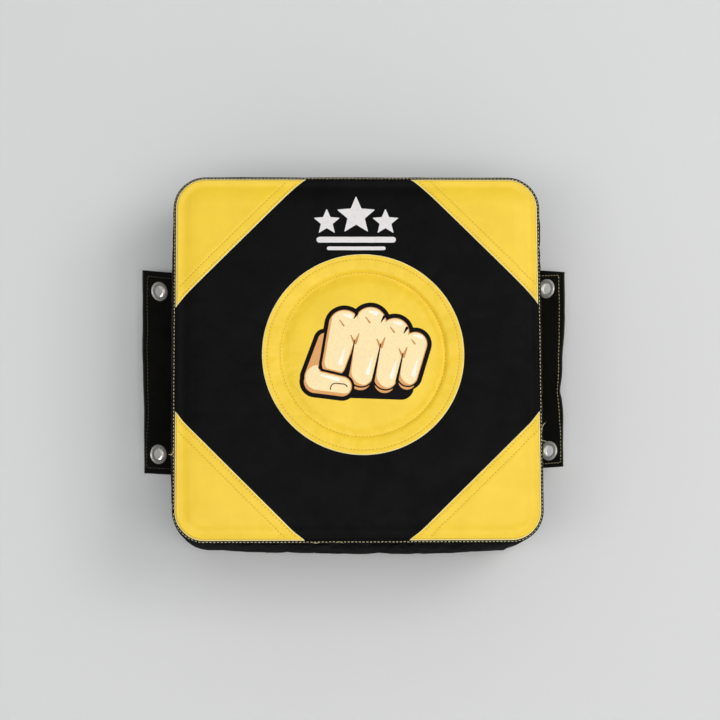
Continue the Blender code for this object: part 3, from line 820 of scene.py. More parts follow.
def make_back_panel(word, side):
    """One half of the back, with the facing that turns in beside the zip."""
    fold = SLOT_HALF_WIDTH + FACING_REACH
    outer = BACK_HALF + 0.7 * MM
    z_lines = np.concatenate(
        [
            np.linspace(-outer, -SLOT_TOP, 20)[:-1],
            np.linspace(-SLOT_TOP, SLOT_TOP, 125),
            np.linspace(SLOT_TOP, outer, 20)[1:],
        ]
    )
    to_edge = outer - side * ZIP_X
    offsets = np.concatenate(
        [np.linspace(0.15 * MM, fold, 6)[:-1], np.linspace(fold, to_edge, round(to_edge / (2.5 * MM)))]
    )
    lines = np.sort(ZIP_X + side * offsets)

    def kept(x, z):
        return abs(x - ZIP_X) > fold or abs(z) > SLOT_TOP

    flat, faces = clipped(lines, z_lines, lambda x, z: inside_distance(x, z, outer), kept)
    surface = Surface()
    x, z = flat[:, 0], flat[:, 1]
    surface.add(np.stack([x, back_y(x, z), z], -1), [face[::-1] for face in faces])
    turn = np.linspace(0, math.pi / 2, 7)
    radius = 1.4 * MM
    across = np.concatenate([[fold, fold - 1.8 * MM], SLOT_HALF_WIDTH + radius * (1 - np.sin(turn))])
    down = np.concatenate([[0, 0], radius * (1 - np.cos(turn))])
    across = np.append(across, [SLOT_HALF_WIDTH, SLOT_HALF_WIDTH])
    down = np.append(down, [3.2 * MM, -FACING_FRONT])
    zs = z_lines[np.abs(z_lines) < SLOT_TOP + 1e-6]
    fx = ZIP_X + side * across[None, :] + 0 * zs[:, None]
    fz = zs[:, None] + 0 * fx
    fy = back_y(fx[:, :1], fz[:, :1]) - down[None, :]
    surface.grid(np.stack([fx, fy, fz], -1), flip=side > 0)
    for end in (-1, 1):
        ex = ZIP_X + side * np.linspace(0.15 * MM, fold, 6)[None, :] + np.zeros((4, 1))
        ez = np.full(ex.shape, end * SLOT_TOP)
        ey = back_y(ex, ez) - np.linspace(0, -FACING_FRONT, 4)[:, None]
        surface.grid(np.stack([ex, ey, ez], -1), flip=side * end > 0)
    panel = surface.make("back_" + word + "_cloth", black_leatherette())
    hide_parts("back_panel_" + word)
    rows = Surface()
    z = np.linspace(-SLOT_TOP + 2 * MM, SLOT_TOP - 2 * MM, 200)
    x = np.full_like(z, ZIP_X + side * (SLOT_HALF_WIDTH + 3 * MM))
    path = np.stack([x, back_y(np.full_like(z, ZIP_X + side * fold), z), z], -1)
    add_stitches(rows, path, REARWARD, **SEAM_STITCH)
    thread = rows.make("back_" + word + "_thread", black_thread())
    return [panel, thread]


TOOTH_PITCH = 1.5 * MM


def make_zip_half(word, side):
    """One tape of the zip and its half of the nylon coil."""
    tape_low, tape_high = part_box("zip_tape_" + word)
    chain_low, chain_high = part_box("zip_chain_" + word)
    outer = max(abs(tape_low.x - ZIP_X), abs(tape_high.x - ZIP_X))
    inner = min(abs(tape_low.x - ZIP_X), abs(tape_high.x - ZIP_X))
    z = np.linspace(tape_low.z, tape_high.z, 320)
    across = np.concatenate([[inner, inner, inner + 0.5 * MM], np.linspace(inner + 1.3 * MM, outer, 7)])
    back = np.full(across.shape, tape_high.y)
    back[:3] = [tape_low.y, tape_high.y - 0.1 * MM, tape_high.y + 0.15 * MM]
    place = np.stack([0 * z, 0 * z, z], -1)
    wave = noise_at(place, 14 * MM, 40 + side)[:, None] * 0.12 * MM * smooth((across - inner) / (5 * MM))
    section_x = np.concatenate([across, across[::-1]])
    section_y = np.concatenate([back, np.full(across.shape, tape_low.y)])
    wave = np.hstack([wave, wave[:, ::-1]])
    x = ZIP_X + side * section_x[None, :] + 0 * z[:, None]
    y = section_y[None, :] + wave
    surface = Surface()
    surface.grid(np.stack([x, y, z[:, None] + 0 * x], -1), wrap_columns=True, flip=side < 0)
    tape = surface.make("zip_tape_" + word + "_weave", zip_weave())
    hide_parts("zip_tape_" + word)
    coil = Surface()
    middle = (chain_low.y + chain_high.y) / 2
    half_depth = (chain_high.y - chain_low.y) / 2
    width = max(abs(chain_low.x - ZIP_X), abs(chain_high.x - ZIP_X))
    count = int((chain_high.z - chain_low.z) / TOOTH_PITCH)
    turn = np.linspace(0, 2 * math.pi, 8, endpoint=False)
    # one tooth, from its head across the middle to its root on the tape
    out = np.array([-0.55, -0.45, 0.0, 0.35, 1.6, 2.6, 2.95, 3.02]) * MM
    tall = np.array([0.05, 0.50, 0.62, 0.42, 0.40, 0.42, 0.36, 0.05]) * MM
    deep = half_depth * np.array([0.1, 0.75, 0.95, 0.8, 0.8, 0.95, 0.8, 0.1])
    for i in range(count):
        tooth_z = chain_low.z + (i + (0.5 if side > 0 else 0.0)) * TOOTH_PITCH + 0.5 * MM
        x = ZIP_X + side * np.minimum(out, width)[:, None] + 0 * turn[None, :]
        y = middle + deep[:, None] * np.sin(turn)[None, :]
        zz = tooth_z + tall[:, None] * np.cos(turn)[None, :]
        coil.grid(np.stack([x, y, zz], -1), wrap_columns=True, flip=side < 0)
    chain = coil.make("zip_coil_" + word, nylon())
    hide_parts("zip_chain_" + word)
    return [tape, chain]


def dress_slider():
    """The slider, its pull and the stops keep their CAD shape, with rounded edges and worn metal."""
    for node in ("zip_slider_outer", "zip_slider_inner", "zip_pull", "zip_stop_top", "zip_stop_bottom"):
        part = frame["nodes"][node]
        part.data.materials.clear()
        part.data.materials.append(slider_metal())
        rounded = part.modifiers.new("Rounded", "BEVEL")
        rounded.width = 0.25 * MM
        rounded.segments = 3
        rounded.limit_method = "ANGLE"


# ---------------------------------------------------------------- the foam


def grid_loop(values):
    """A square grid's outer values, in order round it."""
    return np.concatenate([values[0, :-1], values[:-1, -1], values[-1, :0:-1], values[:0:-1, 0]])


def make_foam(node, front, finish, under_back=False):
    """A foam slab with cut, softly rounded sides. front(x, z) is the depth of its front."""
    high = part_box(node)[1]
    lines = stepped(-high.x, high.x, 6 * MM, 2.5 * MM, 10 * MM)
    x, z = round_corner(*np.meshgrid(lines, lines, indexing="ij"))
    rounding = 1.6 * MM
    inset = 1 - rounding / high.x
    x, z = x * inset, z * inset
    place = np.stack([x, 0 * x, z], -1)
    front_y = front(x, z) + noise_at(place, 50 * MM, 51) * 0.1 * MM
    rear_y = np.full_like(x, high.y)
    if under_back:
        rear_y = np.minimum(rear_y, back_y(x, z) - PLY - 0.3 * MM)
        beside = (SLOT_HALF_WIDTH + 12 * MM - np.abs(x - ZIP_X)) / (3 * MM)
        ends = (SLOT_TOP + 6 * MM - np.abs(z)) / (3 * MM)
        rear_y = rear_y - smooth(beside) * smooth(ends) * (high.y - CHANNEL_FRONT)
    share = np.array([0, 0.02, 0.06, 0.3, 0.5, 0.7, 0.94, 0.98, 1.0])
    swell = np.array([0, 0.7, 1, 1, 1, 1, 1, 0.7, 0]) * rounding
    edge_x, edge_z = grid_loop(x)[:, None], grid_loop(z)[:, None]
    reach = 1 + swell[None, :] / high.x
    side_y = grid_loop(front_y)[:, None] * (1 - share) + grid_loop(rear_y)[:, None] * share
    surface = Surface()
    surface.grid(np.stack([x, front_y, z], -1))
    surface.grid(np.stack([x, rear_y, z], -1), flip=True)
    surface.grid(np.stack([edge_x * reach, side_y, edge_z * reach], -1), wrap_rows=True, flip=True)
    foam = surface.make(node + "_block", finish)
    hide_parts(node)
    return foam


CHANNEL_FRONT = span("zip_slider_inner", Y)[0] - 1.5 * MM


def make_foams():
    def flat(depth):
        return lambda x, z: np.full_like(x, depth)

    def under_skin(x, z):
        return np.minimum(face_y(x, z) + PLY + 0.6 * MM, span("quilt_foam", Y)[1] - 0.8 * MM)

    return [
        make_foam(
            "quilt_foam", under_skin, foam_finish("pale_foam", (0.80, 0.78, 0.70), 0.9 * MM)
        ),
        make_foam(
            "strike_foam", flat(span("strike_foam", Y)[0]),
            foam_finish("dense_foam", (0.045, 0.045, 0.05), 0.5 * MM),
        ),
        make_foam(
            "core_foam", flat(span("core_foam", Y)[0]),
            foam_finish("sponge", (0.55, 0.47, 0.26), 1.6 * MM),
        ),
        make_foam(
            "rebound_foam", flat(span("rebound_foam", Y)[0]),
            foam_finish("expanded_foam", (0.83, 0.84, 0.85), 2.5 * MM), under_back=True,
        ),
    ]


# ---------------------------------------------------------------- the flaps

FLAP_HALF_THICKNESS = 1.15 * MM
FLAP_ROW_INSET = 7.4 * MM
GROMMET_HOLE, GROMMET_BARREL = 6.0 * MM, 6.45 * MM
GROMMET_FLANGE, WASHER_RADIUS = 11.0 * MM, 10.5 * MM
TRIM_BEYOND = 103 * MM  # from the flap's middle, where its ends begin
TRIM_MARGIN, TRIM_MORE = 10.4 * MM, 4 * MM  # of its outer edge, and how much wider between the grommets


class Flap:
    """One flap: its fold, how it stands at rest, and the shape of its fabric."""

    def __init__(self, word, side):
        joint = next(j for j in frame["joints"] if j["name"] == word + "_flap_fold")
        self.word, self.side, self.body = word, side, word + "_flap"
        self.fold = np.array(joint["pos_m"])
        tilt = math.radians(90 - joint["range_deg"][1])
        self.out = np.array([side * math.cos(tilt), -math.sin(tilt), 0])
        self.rear = np.array([side * math.sin(tilt), math.cos(tilt), 0])
        low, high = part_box(word + "_flap_front_ply")
        self.half_height = (high.z - low.z) / 2
        tip = max(abs(low.x), abs(high.x)) - abs(self.fold[0])
        self.width = tip / math.cos(tilt)
        self.grommets = []
        for end in ("top", "bottom"):
            low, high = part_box(word + "_" + end + "_grommet")
            centre = np.array((low + high) / 2) - self.fold
            self.grommets.append((float(centre @ self.out), float(centre[Z])))

    def place(self, u, v, w):
        """A point at u out from the fold, v up from its middle and w towards the rear."""
        u, v, w = np.broadcast_arrays(u, v, w)
        up = np.array([0, 0, 1.0])
        return self.fold + u[..., None] * self.out + v[..., None] * up + w[..., None] * self.rear

    def trimmed(self, u, v):
        """Moves the edges in a little, beyond the grommets: no real flap is cut quite square."""
        start = self.width - TRIM_MARGIN - TRIM_MORE * smooth((75 * MM - np.abs(v)) / (20 * MM))
        outer = smooth((u - start) / (self.width - start))
        end = smooth((np.abs(v) - TRIM_BEYOND) / (self.half_height - TRIM_BEYOND))
        share = u / self.width
        if self.side < 0:
            most = 2.2 * MM * v / self.half_height - 4.2 * MM
            down = np.where(v > 0, -1.6 * MM * share, 1.8 * MM)
        else:
            slack = smooth((62 * MM - v) / (52 * MM))
            notch = hump((v + 27 * MM) / np.where(v < -27 * MM, 5 * MM, 16 * MM))
            most = -0.6 * MM - 5.2 * MM * slack - 1.8 * MM * notch
            down = np.where(v > 0, 1.0 * MM - 8.0 * MM * share, 5.0 * MM)
        return u + most * outer, v + down * end

    def wave(self, u, v):
        """How far the fabric stands out of its plane, rearwards. It is flat round the grommets."""
        reach = np.clip(u / self.width, 0, 1.1)
        place = np.stack([u, 0 * u + self.side * 0.1, v], -1)
        soft = noise_at(place, 30 * MM, 61) * 1.1 * MM + noise_at(place, 12 * MM, 62) * 0.25 * MM
        if self.side < 0:
            bend = 1.6 * MM * hump((v - 20 * MM) / (40 * MM)) - 1.2 * MM * hump((v + 35 * MM) / (22 * MM))
        else:
            bend = -2.0 * MM * hump((v + 27 * MM) / (13 * MM)) + 1.2 * MM * hump((v - 18 * MM) / (26 * MM))
            bend = bend + 1.2 * MM * hump((v + 52 * MM) / (12 * MM))
        held = 1.0
        for gu, gv in self.grommets:
            held = held * smooth((np.hypot(u - gu, v - gv) - GROMMET_FLANGE) / (16 * MM))
        return np.maximum(soft * smooth(u / (12 * MM)) + bend * reach, -1.8 * MM) * held

    def blended(self, piece):
        """Bakes the piece's placement into its mesh."""
        start, end = self.place(-2.5 * MM, 0, 0), self.place(7 * MM, 0, 0)
        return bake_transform(piece, "pad", self.body, start=tuple(start), end=tuple(end))


def make_flap(flap):
    word, height = flap.word, flap.half_height
    edge = np.array([0, 0.15, 0.5, 1.0, 1.8]) * MM
    us = np.concatenate([np.linspace(-2.5 * MM, flap.width - 1.8 * MM, 34)[:-1], (flap.width - edge)[::-1]])
    vs = np.linspace(-height + 1.8 * MM, height - 1.8 * MM, 150)
    us = with_places(us, [flap.grommets[0][0]], 9 * MM)
    vs = with_places(vs, [g[1] for g in flap.grommets], 9 * MM)
    vs = np.concatenate([-height + edge[:-1], vs, (height - edge[:-1])[::-1]])
    holes = [(gu, gv, GROMMET_BARREL) for gu, gv in flap.grommets]
    flat, faces, rims = punched_grid(us, vs, holes, block=9 * MM)
    u, v = flat[:, 0], flat[:, 1]
    rim = np.minimum(np.minimum(flap.width - u, height - np.abs(v)) / (1.2 * MM), 1)
    plump = FLAP_HALF_THICKNESS * np.sqrt(np.clip(1 - (1 - rim) ** 2, 0, 1))
    row = np.minimum(np.abs(flap.width - FLAP_ROW_INSET - u), np.abs(height - FLAP_ROW_INSET - np.abs(v)))
    plump = plump - 0.25 * MM * hump(row / (1.0 * MM))
    cut_u, cut_v = flap.trimmed(u, v)
    wave = flap.wave(u, v)
    surface = Surface()
    for layer in (-1, 1):
        points = flap.place(cut_u, cut_v, wave + layer * plump)
        turned = (layer * flap.side) < 0
        surface.add(points, [face[::-1] for face in faces] if turned else faces, wear=1 - smooth(rim))
    count = len(flat)
    for rim_loop in rims:
        after = np.roll(rim_loop, -1)
        surface.faces += np.stack([rim_loop, after, after + count, rim_loop + count], -1).tolist()
    # The flap cloth is lightened with painted light.
    fabric = surface.make(word + "_flap_fabric", flap_leatherette_painted_light())
    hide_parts(word + "_flap_front_ply", word + "_flap_rear_ply")
    flap.blended(fabric)
    rows = Surface()
    low, out = -height + FLAP_ROW_INSET, flap.width - FLAP_ROW_INSET
    corner = 3 * MM
    turn = np.linspace(0, math.pi / 2, 6)
    upright = np.linspace(low + corner, 0, 80)[1:]
    pu = np.concatenate([np.linspace(2 * MM, out - corner, 40)[:-1], out - corner + corner * np.sin(turn)])
    pv = np.concatenate([np.full(39, low), low + corner * (1 - np.cos(turn))])
    pu, pv = np.append(pu, np.full_like(upright, out)), np.append(pv, upright)
    pu, pv = np.append(pu, pu[-2::-1]), np.append(pv, -pv[-2::-1])
    cut_u, cut_v = flap.trimmed(pu, pv)
    for layer in (-1, 1):
        path = flap.place(cut_u, cut_v, flap.wave(pu, pv) + layer * (FLAP_HALF_THICKNESS - 0.25 * MM))
        add_stitches(rows, path, layer * flap.rear, **FLAP_STITCH)
    thread = rows.make(word + "_flap_thread", pale_thread() if flap.side > 0 else darker_flap_thread())
    flap.blended(thread)


def turned_ring(surface, flap, gu, gv, profile):
    """A metal ring turned from a closed profile of radius and depth, round a hole in the flap."""
    turn = np.linspace(0, 2 * math.pi, 96, endpoint=False)
    radius, depth = np.array(profile).T
    u = gu + radius[:, None] * np.cos(turn)[None, :]
    v = gv + radius[:, None] * np.sin(turn)[None, :]
    points = flap.place(u, v, depth[:, None] + 0 * u)
    surface.grid(points, wrap_rows=True, wrap_columns=True, flip=flap.side > 0)


def arc_points(centre_radius, centre_depth, size_radius, size_depth, first_deg, last_deg, steps):
    angles = np.radians(np.linspace(first_deg, last_deg, steps))
    return [
        (centre_radius + size_radius * math.cos(a), centre_depth + size_depth * math.sin(a)) for a in angles
    ]


def make_grommets(flap):
    hole, barrel, flange, washer = GROMMET_HOLE, GROMMET_BARREL, GROMMET_FLANGE, WASHER_RADIUS
    under, over = -1.45 * MM, 1.45 * MM
    for (gu, gv), end in zip(flap.grommets, ("top", "bottom")):
        surface = Surface()
        crest = arc_points(8.2 * MM, under, 2.2 * MM, -0.95 * MM, 180, 0, 14)
        skirt = arc_points(flange - 0.5 * MM, under, 0.5 * MM, -0.4 * MM, 80, 0, 5)
        curl = arc_points(hole + 0.95 * MM, over + 0.35 * MM, 0.95 * MM, 0.75 * MM, 0, 180, 9)
        profile = crest + skirt + [(barrel, under), (barrel, over)] + curl
        turned_ring(surface, flap, gu, gv, profile)
        grommet = surface.make(flap.word + "_" + end + "_eyelet", nickel())
        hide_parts(flap.word + "_" + end + "_grommet")
        rear = Surface()
        inner = barrel + 0.15 * MM
        dome = arc_points((inner + washer) / 2, over, (washer - inner) / 2, 0.85 * MM, 0, 180, 16)
        turned_ring(rear, flap, gu, gv, dome)
        ring = rear.make(flap.word + "_" + end + "_washer_ring", nickel())
        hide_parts(flap.word + "_" + end + "_washer")
        for piece in (grommet, ring):
            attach(piece, flap.body)


# ---------------------------------------------------------------- the prints


def bar(x, z, a, b, width_a, width_b):
    """How far inside a round-ended bar from a to b a point lies. The bar's half widths are given."""
    along = (x - a[0]) * (b[0] - a[0]) + (z - a[1]) * (b[1] - a[1])
    t = np.clip(along / max((b[0] - a[0]) ** 2 + (b[1] - a[1]) ** 2, 1e-9), 0, 1)
    off = np.hypot(x - a[0] - t * (b[0] - a[0]), z - a[1] - t * (b[1] - a[1]))
    return width_a + (width_b - width_a) * t - off


def star(x, z, centre, size):
    """How far inside a five-pointed star a point lies, roughly."""
    dx, dz = x - centre[0], z - centre[1]
    fifth = 2 * math.pi / 5
    angle = np.abs(np.mod(np.arctan2(dx, dz) + fifth / 2, fifth) - fifth / 2)
    notch = 0.45 * size
    edge = size * notch * math.sin(fifth / 2)
    reach = edge / (notch * np.sin(fifth / 2 - angle) + size * np.sin(angle))
    return (reach - np.hypot(dx, dz)) * 0.6


def add_print(name, inside, centre, reach, depth, finish, lift, pitch=0.8 * MM, scale=MM):
    """A thin layer of ink on the cloth. inside(x, z) takes units of scale from the print's centre."""
    us = centre[0] + np.arange(-reach[0], reach[0] + pitch, pitch)
    vs = centre[1] + np.arange(-reach[1], reach[1] + pitch, pitch)
    flat, faces = clipped(us, vs, lambda x, z: inside((x - centre[0]) / scale, (z - centre[1]) / scale))
    x, z = flat[:, 0], flat[:, 1]
    surface = Surface()
    surface.add(np.stack([x, depth(x, z) - lift, z], -1), faces)
    layer = surface.make(name, finish, merge=0.05 * MM)
    return layer


FINGERS = (  # knuckle, fingertip, and half width at both, in millimetres
    ((-24, 27), (-35, -13), 17.0, 13.0),
    ((3, 30), (-7, -23), 17.0, 13.5),
    ((28, 20), (18, -27), 15.5, 12.5),
    ((49, 8), (41, -25), 13.0, 11.0),
)
GAPS = (((-13.5, 12), (-21, -24)), ((13.2, 8), (5.2, -30)), ((36.0, -2), (29.6, -31)))
BACK_OF_HAND = ((-22, 19), (47, 2), 18.0, 13.0)
THUMB = ((-54, -31), (-27, -36), 12.5, 11.0)
THUMB_BASE = ((-44, 12), (-55, -26), 8.0, 11.0)
PALM = ((-22, -34), (34, -37), 10.0, 9.0)
NAIL = ((-33, -38.5), (-26, -38.5), 6.2, 5.4)


def print_fist():
    """A generic fist seen from the front, drawn with round-ended bars."""
    centre = (TARGET_X + 5 * MM, TARGET_Z + 2.5 * MM)
    reach = (78 * MM, 60 * MM)

    def finger(x, z, k, shift=(0, 0)):
        knuckle, tip, wide, narrow = FINGERS[k]
        return bar(x - shift[0], z - shift[1], knuckle, tip, wide, narrow)

    def most(*parts):
        return np.max(parts, axis=0)

    def fingers(x, z):
        return most(*[finger(x, z, k) for k in range(4)])

    def whole(x, z):
        return most(fingers(x, z), bar(x, z, *THUMB), bar(x, z, *THUMB_BASE), bar(x, z, *PALM)) + 4.0

    def hand(x, z):
        """The hand without its thumb, which lies in front of it."""
        return most(fingers(x, z), np.minimum(bar(x, z, *BACK_OF_HAND), 8 - np.abs(z - 8) * 0.4))

    def thumb(x, z):
        return most(bar(x, z, *THUMB), np.minimum(bar(x, z, *THUMB_BASE), -finger(x, z, 0) - 1.8))

    def skin(x, z):
        clear = -bar(x, z, *THUMB) - 2.0
        under = []
        for _, (tx, tz), _, narrow in FINGERS[1:]:
            below = bar(x, z, (tx - 1, tz - 5.5), (tx - 1, tz - 5.5), narrow - 2, narrow - 2)
            beyond = -bar(x, z, (tx, tz), (tx, tz), narrow, narrow) - 1.0
            under.append(np.minimum(np.minimum(below, beyond), clear))
        return most(np.minimum(hand(x, z) - 0.6, clear), thumb(x, z) - 0.6, *under)

    def lit(x, z):
        clear = -bar(x, z, *THUMB) - 3.4
        parts = []
        for k in range(4):
            part = np.minimum(finger(x, z, k) - 1.6, finger(x, z, k, shift=(4.2, 2.6)) + 0.8)
            parts.append(np.minimum(part, clear))
        back = bar(x, z, (-18, 23), (46, 6), 14.0, 9.0)
        lifted = bar(x - 2.5, z - 4.0, *THUMB) + 0.4
        parts += [back, np.minimum(thumb(x, z) - 1.8, lifted)]
        return most(*parts)

    def gleam(x, z):
        parts = []
        for (kx, kz), (tx, tz), wide, narrow in FINGERS:
            low, tall = (tx + 0.50 * narrow, tz + 1), (tx + 0.56 * narrow + 4, tz + 17)
            parts.append(bar(x, z, low, tall, 2.4, 0.5))
            parts.append(bar(x, z, (kx - 1, kz + 0.68 * wide), (kx + 6, kz + 0.56 * wide), 0.9, 2.2))
        parts.append(bar(x, z, (-48, -24.5), (-31, -29.0), 1.0, 2.0))
        return most(*parts)

    def folds(x, z):
        """Brown marks: the forks above the gaps and a crease on each knuckle."""
        parts = []
        for (gx, gz), _ in GAPS:
            parts.append(bar(x, z, (gx - 4.0, gz + 5.0), (gx - 0.3, gz - 3), 0.5, 1.4))
            parts.append(bar(x, z, (gx + 4.5, gz + 6.5), (gx + 0.5, gz - 3), 0.5, 1.7))
        for (kx, kz), _, wide, _ in FINGERS:
            parts.append(bar(x, z, (kx - 0.30 * wide, kz + 0.35 * wide), (kx - 0.05 * wide, kz), 0.5, 0.9))
        return most(*parts)

    def lines(x, z):
        parts = [bar(x, z, top, low, 0.45, 1.6) for top, low in GAPS]
        nail = bar(x, z, *NAIL)
        parts.append(np.minimum(np.minimum(nail, 1.0 - nail), 40 + 1.2 * z - x * 0.2))
        parts.append(bar(x, z, (-45, 2), (-50, -17), 0.3, 1.1))
        for left, right in zip(FINGERS, FINGERS[1:]):
            notch_x = (left[0][0] + right[0][0]) / 2 + 0.16 * (left[0][1] - right[0][1])
            notch_z = (left[0][1] + right[0][1]) / 2 + 0.52 * left[2]
            parts.append(bar(x, z, (notch_x, notch_z + 2.4), (notch_x - 3.4, notch_z - 3.4), 1.5, 0.3))
        return most(*parts)

    layers = (
        ("fist_outline", whole, ink("ink_black", (0.0045, 0.0030, 0.0036))),
        ("fist_shade", skin, ink("ink_tan", (0.74, 0.36, 0.13))),
        ("fist_skin", lit, ink("ink_skin", (0.95, 0.76, 0.42))),
        ("fist_gleam", gleam, ink("ink_cream", (0.97, 0.90, 0.76))),
        ("fist_folds", folds, ink("ink_brown", (0.60, 0.27, 0.09))),
        ("fist_lines", lines, ink("ink_black_fine", (0.006, 0.004, 0.004))),
    )
    return [
        add_print(name, inside, centre, reach, target_y, finish, (0.05 + 0.04 * k) * MM, 0.55 * MM, 1.05 * MM)
        for k, (name, inside, finish) in enumerate(layers)
    ]


def print_mark():
    """A plain mark above the target: three stars over two bars."""

    def inside(x, z):
        stars = [star(x, z, (0, 8), 22), star(x, z, (-32, 1), 15), star(x, z, (32, 1), 15)]
        bars = [bar(x, z, (-40, -18.5), (40, -18.5), 3.2, 3.2), bar(x, z, (-30, -28), (30, -28), 2.0, 2.0)]
        return np.max(stars + bars, axis=0)

    centre = (-1 * MM, 148 * MM)
    white = ink("ink_white", (0.74, 0.71, 0.70))
    return [add_print("mark_print", inside, centre, (46 * MM, 33 * MM), face_y, white, 0.06 * MM)]


# ---------------------------------------------------------------- materials


def tree_of(name, colour, roughness, metallic=0.0, specular=0.5, sheen=0.0):
    """A new material with its Principled shader and a helper that adds a node to it."""
    material = bpy.data.materials.new(name)
    material.use_nodes = True
    tree = material.node_tree
    shader = tree.nodes["Principled BSDF"]
    shader.inputs["Base Color"].default_value = (*colour, 1)
    shader.inputs["Roughness"].default_value = roughness
    shader.inputs["Metallic"].default_value = metallic
    shader.inputs["Specular IOR Level"].default_value = specular
    shader.inputs["Sheen Weight"].default_value = sheen
    shader.inputs["Sheen Roughness"].default_value = 0.5

    def node(kind, inputs=(), **settings):
        made = tree.nodes.new("ShaderNode" + kind)
        for key, value in settings.items():
            setattr(made, key, value)
        for key, value in dict(inputs).items():
            if isinstance(value, bpy.types.NodeSocket):
                tree.links.new(value, made.inputs[key])
            else:
                made.inputs[key].default_value = value
        return made

    return material, shader, node, tree.links.new


def shades(node, factor, dark, light, low=0.0, high=1.0):
    """A colour between dark and light, as factor goes from low to high."""
    ramp = node("ValToRGB", {"Fac": factor})
    ramp.color_ramp.elements[0].position = low
    ramp.color_ramp.elements[0].color = (*dark, 1)
    ramp.color_ramp.elements[1].position = high
    ramp.color_ramp.elements[1].color = (*light, 1)
    return ramp.outputs["Color"]


def spread(node, factor, low, high, to_low, to_high):
    scaled = node(
        "MapRange",
        {"Value": factor, "From Min": low, "From Max": high, "To Min": to_low, "To Max": to_high},
    )
    return scaled.outputs["Result"]


def emboss(node, link, shader, height, strength, depth):
    """Gives the shader fine relief."""
    bump = node("Bump", {"Height": height, "Strength": strength, "Distance": depth})
    link(bump.outputs["Normal"], shader.inputs["Normal"])


def leatherette(name, colour, worn_and_lit_edge_colour, roughness, grain, grain_depth, mottle, specular):
    """Coated fabric: a pebbled grain, soft mottling, and a paler edge where the mesh says so: real wear on
    black cloth, a painted highlight along the yellow patches' cut edges.
    """
    material, shader, node, link = tree_of(name, colour, roughness, specular=specular)
    place = node("TexCoord").outputs["Object"]
    clouds = node("TexNoise", {"Vector": place, "Scale": 38.0, "Detail": 5.0, "Roughness": 0.6})
    dark = [c * (1 - mottle) for c in colour]
    light = [min(1, c * (1 + mottle)) for c in colour]
    base = shades(node, clouds.outputs["Fac"], dark, light, 0.3, 0.7)
    # The paler edge colour, broken up by noise: real wear on black cloth, a painted highlight on the yellow
    # patches' cut edges.
    wear = node("Attribute", attribute_name="wear").outputs["Fac"]
    scuff_and_highlight_breakup = node("TexNoise", {"Vector": place, "Scale": 420.0, "Detail": 3.0})
    patchy = spread(node, scuff_and_highlight_breakup.outputs["Fac"], 0.3, 0.7, 0.75, 1.0)
    wear_and_highlight_here = node("Math", {0: wear, 1: patchy}, operation="MULTIPLY")
    mixed = node("Mix", {"Factor": wear_and_highlight_here.outputs[0], "A": base, "B": (*worn_and_lit_edge_colour, 1)}, data_type="RGBA")
    link(mixed.outputs["Result"], shader.inputs["Base Color"])
    duller = spread(node, clouds.outputs["Fac"], 0.3, 0.7, roughness + 0.06, roughness - 0.06)
    link(duller, shader.inputs["Roughness"])
    pebbles = node("TexVoronoi", {"Vector": place, "Scale": 1 / grain}, feature="DISTANCE_TO_EDGE")
    creases = spread(node, pebbles.outputs["Distance"], 0.0, 0.35, 0.0, 1.0)
    fine = node("TexNoise", {"Vector": place, "Scale": 0.6 / grain, "Detail": 4.0})
    height = node("Math", {0: creases, 1: fine.outputs["Fac"]}, operation="ADD")
    emboss(node, link, shader, height.outputs[0], 0.8, grain_depth)
    return material


MADE = {}


def once(make):
    """Keeps the one material that a function makes."""

    def keep():
        if make.__name__ not in MADE:
            MADE[make.__name__] = make()
        return MADE[make.__name__]

    return keep


def black_cloth(name, colour, roughness, specular):
    return leatherette(
        name, colour, (0.030, 0.030, 0.028), roughness,
        grain=1.1 * MM, grain_depth=0.12 * MM, mottle=0.25, specular=specular,
    )


@once
def black_leatherette():
    return black_cloth("black_leatherette_fine", (0.0024, 0.0024, 0.0024), 0.46, 0.055)


# The bottom strip's cloth: darker than the same black cloth on the upper strip, painted shade for the shadow
# under the pad.
@once
def band_leatherette_painted_shade():
    return black_cloth("band_leatherette_fine_painted_shade", (0.0020, 0.0020, 0.0019), 0.72, 0.016)


@once
def side_leatherette():
    return black_cloth("side_leatherette_fine", (0.0040, 0.0040, 0.0038), 0.64, 0.045)


@once
def yellow_leatherette():
    # Its pale second colour is a painted highlight for the patches' cut edges.
    return leatherette(
        "yellow_leatherette_fine", (0.87, 0.585, 0.022), (0.96, 0.88, 0.50), 0.50,
        grain=1.0 * MM, grain_depth=0.05 * MM, mottle=0.035, specular=0.5,
    )


def thread_finish(name, dark, light):
    """Twisted thread: slanted light and dark strands that are finer than the thread."""
    material, shader, node, link = tree_of(name, light, 0.6, sheen=0.2)
    place = node("TexCoord").outputs["Object"]
    twist = node("TexNoise", {"Vector": place, "Scale": 2600.0, "Detail": 2.0})
    link(shades(node, twist.outputs["Fac"], dark, light, 0.35, 0.6), shader.inputs["Base Color"])
    emboss(node, link, shader, twist.outputs["Fac"], 0.7, 0.1 * MM)
    return material


# The yellow thread is darker than the yellow cloth it matches: its own yellow darkened with painted shade,
# for the shadow in its needle holes.
@once
def yellow_thread_painted_shade():
    return thread_finish("yellow_thread_painted_shade", (0.42, 0.25, 0.015), (0.66, 0.42, 0.03))


@once
def pale_thread():
    return thread_finish("pale_thread", (0.45, 0.38, 0.16), (0.85, 0.76, 0.45))


# The flaps' black cloth is paler than the same cloth on the pad: painted light, lifting the flaps out of the
# shade beside the pad.
@once
def flap_leatherette_painted_light():
    return leatherette(
        "flap_leatherette_fine_painted_light", (0.0100, 0.0098, 0.0075), (0.030, 0.029, 0.026), 0.55,
        grain=1.0 * MM, grain_depth=0.10 * MM, mottle=0.25, specular=0.14,
    )


